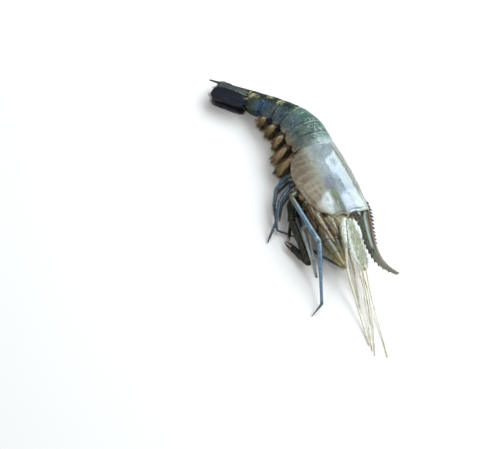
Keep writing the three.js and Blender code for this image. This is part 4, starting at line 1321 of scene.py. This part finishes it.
def pincer(end, before, radius, length, look):
    """Two fingers that carry on from a limb, each with small teeth along its cutting edge."""
    ahead = (end - before).normalized()
    apart = ahead.cross(Vector((0, 0, 1))).normalized()
    parts = []
    for side in (-1, 1):
        first = end - ahead * (0.6 * radius * MM) + apart * (side * 0.48 * radius * MM)
        swell = end + ahead * (0.5 * length * MM) + apart * (side * 0.75 * radius * MM)
        tip = end + ahead * (length * MM) + apart * (side * 0.22 * radius * MM)
        stops = []
        for k in range(18):
            u = k / 17
            centre = first * (1 - u) ** 2 + swell * (2 * u * (1 - u)) + tip * u * u
            stops.append((centre, radius * lerp(0.52, 0.1, u ** 1.2), (u, 0, 0)))
        far = tip + ahead * (0.1 * radius * MM), 0, (1, 0, 0)
        parts.append(tube([(stops[0][0], 0, (0, 0, 0)), *stops, far], 16, look))
        for point, size, _ in stops[3:14:2]:
            inward = apart * (-side * size * MM)
            peak = point + inward * 1.35 + ahead * (0.1 * size * MM)
            parts.append(spike(point + inward * 0.7, peak, 0.28 * size, look))
    return parts


def leg(k, side):
    """A walking leg in its stretches, with a claw on the first two pairs and fine hairs at the end."""
    sizes = LEGS[side][k]
    points = [body(sizes["hip"], -25, side * 5.4), *[lying(x, y, z) for x, y, z, _ in sizes["joints"]]]
    radii = [sizes["joints"][0][3] * 1.25, *[joint[3] for joint in sizes["joints"]]]
    parts = limb(points, radii, 22, sizes["look"])
    if sizes["claw"] == GREAT_CLAW:  # its palm is darker than the arm
        parts[-1].data.materials[0] = LOOKS["dark palm"].material
    if sizes["claw"]:
        look = "brown claw" if sizes["look"] == "dark leg" else "pale leg"
        parts += pincer(points[-1], points[-2], radii[-1], sizes["claw"], look)
    roots = []
    for _ in range(LEG_HAIRS):
        share = draw.uniform(0.15, 1) ** 0.6 * (len(points) - 1.02)
        i = int(share)
        ahead = (points[i + 1] - points[i]).normalized()
        level = ahead.orthogonal().normalized()
        turn = draw.uniform(0, 2 * math.pi)
        out = level * math.cos(turn) + ahead.cross(level) * math.sin(turn)
        radius = lerp(radii[i], radii[i + 1], share - i)
        base = points[i].lerp(points[i + 1], share - i) + out * (0.85 * radius * MM)
        roots.append((base, base + (out + ahead * 0.9) * (draw.uniform(0.5, 0.9) * MM)))
    parts.append(hairs(roots, 0.05, "bristles"))
    return joined(f"walking_leg_{SIDES[side]}_{k + 1}", parts)


# ---- underside

BELLY_LINE = [(-15, -19.6), (0, -20.4), (20, -22.4), (44, -22.8), (62, -17.5)]
# the stretches round the mouth: both ends in the body frame, radius and look
MOUTH_FOLDS = [
    ((16, -23.0, 7.2), (-7, -23.0, 5.6), 3.6, "mouth muscles"),
    ((12, -25.5, 4.0), (-8, -27.0, 3.0), 4.4, "mouth muscles"),
    ((12, -21.5, 8.4), (-6, -20.0, 7.2), 3.0, "mouth muscles"),
    ((9, -18.8, 8.4), (-8, -16.4, 6.8), 3.2, "mouth muscles"),
    ((6, -14.6, 8.0), (-9, -13.6, 6.2), 3.4, "mouth folds"),
    ((15, -22.6, 10.2), (-13, -19.6, 8.4), 2.2, "mouth folds"),
    ((2, -9.6, 7.4), (-5.4, -10.2, 6.2), 3.2, "mouth folds"),
    ((35, -25.8, 8.4), (31, -26.4, 9.6), 3.2, "leg roots"),
    ((24, -24.4, 9.4), (10, -24.4, 9.2), 2.8, "mouth muscles"),
    ((20, -26.4, 8.0), (2, -28.4, 6.0), 3.2, "mouth muscles"),
]
INNER_LIMB = [(2, -15.6, 5.6), (-11, -17.6, 5.4), (-21, -18.4, 4.8), (-27, -19, 4.4)]
INNER_LIMB_RADII = (3.4, 3.2, 2.2, 0.7)


def underside():
    """The soft underside and the face, with the legs' rounded roots, the folds and the inner mouth limbs."""

    def belly(share):
        """Its station, height, half depth and half width along it."""
        swell = math.sqrt(max(1 - (2 * share - 1) ** 6, 0.05))
        s = lerp(-15, 62, share)
        return s, along(BELLY_LINE, s), 6.2 * swell, 9 * swell

    def face(share):
        """The same for the face."""
        swell = math.sqrt(max(1 - share**4, 0.12))
        return lerp(14, -7.5, share), lerp(-6, -10, share), 12.2 * swell, 7.4 * swell

    def soft_form(sizes_at, fold_at, look):
        """A rounded form with folds."""

        def place(share, size, turn):
            s, height, deep, wide = sizes_at(share)
            fold = fold_at(s, turn)
            y = height + size * (deep + fold) * math.cos(turn)
            z = size * (wide + fold) * math.sin(turn)
            return body(s, y, z), (s, y, z)

        return closed_skin(71, 56, place, look)

    parts = [
        soft_form(belly, lambda s, turn: 0.35 * math.sin(s * 0.9) + 0.5 * lumps(s, turn, 5), "underside"),
        soft_form(face, lambda s, turn: 0.35 * lumps(s, turn, 3.5, 4), "face"),
    ]
    for side in SIDES:
        for k, sizes in enumerate(LEGS[side]):
            hip, radius = sizes["hip"], sizes["joints"][0][3]
            ends = flanked(side, (hip - 0.5, -20.5, 4.2), (hip, -25.4, 6.4))
            look = "underside" if k < 2 else "leg roots"
            parts.append(stretch(*ends, radius + 1.3, radius + 0.8, 0, 22, look, 0.9))
        for begin, end, radius, look in MOUTH_FOLDS:
            narrow = radius * (0.45 if look == "mouth folds" else 0.75)
            parts.append(stretch(*flanked(side, begin, end), radius, narrow, 5, 20, look, 0.6, 0.8))
        points = flanked(side, *INNER_LIMB)
        parts += limb(points, INNER_LIMB_RADII, 22, "mouthpart", 0.6)
        spread = (0.05, 0.99), 0.8, (-1, 1), 0.85, (1.1, 0.8), (1.2, 2.8)
        parts.append(edge_hairs(points, INNER_LIMB_RADII, 120, *spread))
    return joined("underside", parts)


# ---- the whole prawn

kept(carapace(), "carapace")
kept(underside(), "thorax")
for i in range(len(SOMITES)):
    kept(abdomen_ring(i), f"somite_{i + 1}")
kept(telson(), "telson")
for side, name in SIDES.items():
    kept(eye(side), f"eye_{name}")
    kept(antenna(side), f"antenna_{name}")
    kept(antennule(side), f"antennule_{name}")
    kept(antennal_scale(side), f"antennal_scale_{name}")
    kept(maxilliped(side), f"maxilliped_{name}")
    for blade_sizes in FAN:
        kept(fan_blade(blade_sizes, side), f"tail_blade_{blade_sizes['kind']}_{name}")
    for i in range(len(PLEOPODS)):
        kept(pleopod(i, side), f"pleopod_{name}_{i + 1}")
    for k, sizes in enumerate(LEGS[side]):
        kept(leg(k, side), f"leg_{name}_{k + 1}")

# ---- floor, light and camera


FLOOR_SIZE, FLOOR_HEIGHT = 6, -0.00002
PRAWN_MIDDLE = Vector((0.01, 0, 0.015))
CAMERA_PLACE = (-0.047922, -0.290566, 0.59504)
CAMERA_TILT = math.radians(25)


def floor():
    """A plain pale floor."""
    plane = start(bpy.ops.mesh.primitive_plane_add, size=FLOOR_SIZE, location=(0, 0, FLOOR_HEIGHT))
    plane.name = "floor"
    bpy.ops.object.transform_apply(location=True, rotation=True, scale=True)
    matt = bpy.data.materials.new("pale floor")
    matt.use_nodes = True
    sockets = matt.node_tree.nodes["Principled BSDF"].inputs
    sockets["Base Color"].default_value, sockets["Roughness"].default_value = tone(236, 233, 229), 0.9
    plane.data.materials.append(matt)


def softbox(name, direction, distance, width, height, brightness, colour):
    """A large soft light in a direction from the middle of the prawn, turned to face it."""
    place = PRAWN_MIDDLE + Vector(direction).normalized() * distance
    bpy.ops.object.light_add(type="AREA", location=place)
    lamp = bpy.context.object
    lamp.name = name
    lamp.rotation_euler = (PRAWN_MIDDLE - lamp.location).to_track_quat("-Z", "Y").to_euler()
    lamp.data.shape = "RECTANGLE"
    lamp.data.size, lamp.data.size_y = width, height
    lamp.data.energy = brightness * width * height * math.pi
    lamp.data.color = colour


def sky(colour, strength):
    """Even light from all round."""
    world = bpy.data.worlds.new("studio")
    world.use_nodes = True
    sockets = world.node_tree.nodes["Background"].inputs
    sockets["Color"].default_value, sockets["Strength"].default_value = colour, strength
    bpy.context.scene.world = world


def camera():
    """Stands where the photo's did: above the belly side, looking down at 65 degrees."""
    bpy.ops.object.camera_add(location=CAMERA_PLACE, rotation=(CAMERA_TILT, 0, 0))
    viewer = bpy.context.object
    viewer.data.lens, viewer.data.sensor_width = 60, 36
    viewer.data.clip_start, viewer.data.clip_end = 0.01, 20
    bpy.context.scene.camera = viewer


floor()
softbox("window", (0.65, 0.38, 0.66), 0.9, 1.3, 0.88, 5.5, (0.84, 0.93, 1))
softbox("fill", (-0.8, -0.3, 0.7), 1.4, 0.9, 0.9, 1.6, (1, 0.95, 0.87))
sky((0.93, 0.96, 1, 1), 0.42)
camera()
bpy.context.scene.view_settings.view_transform = "Standard"
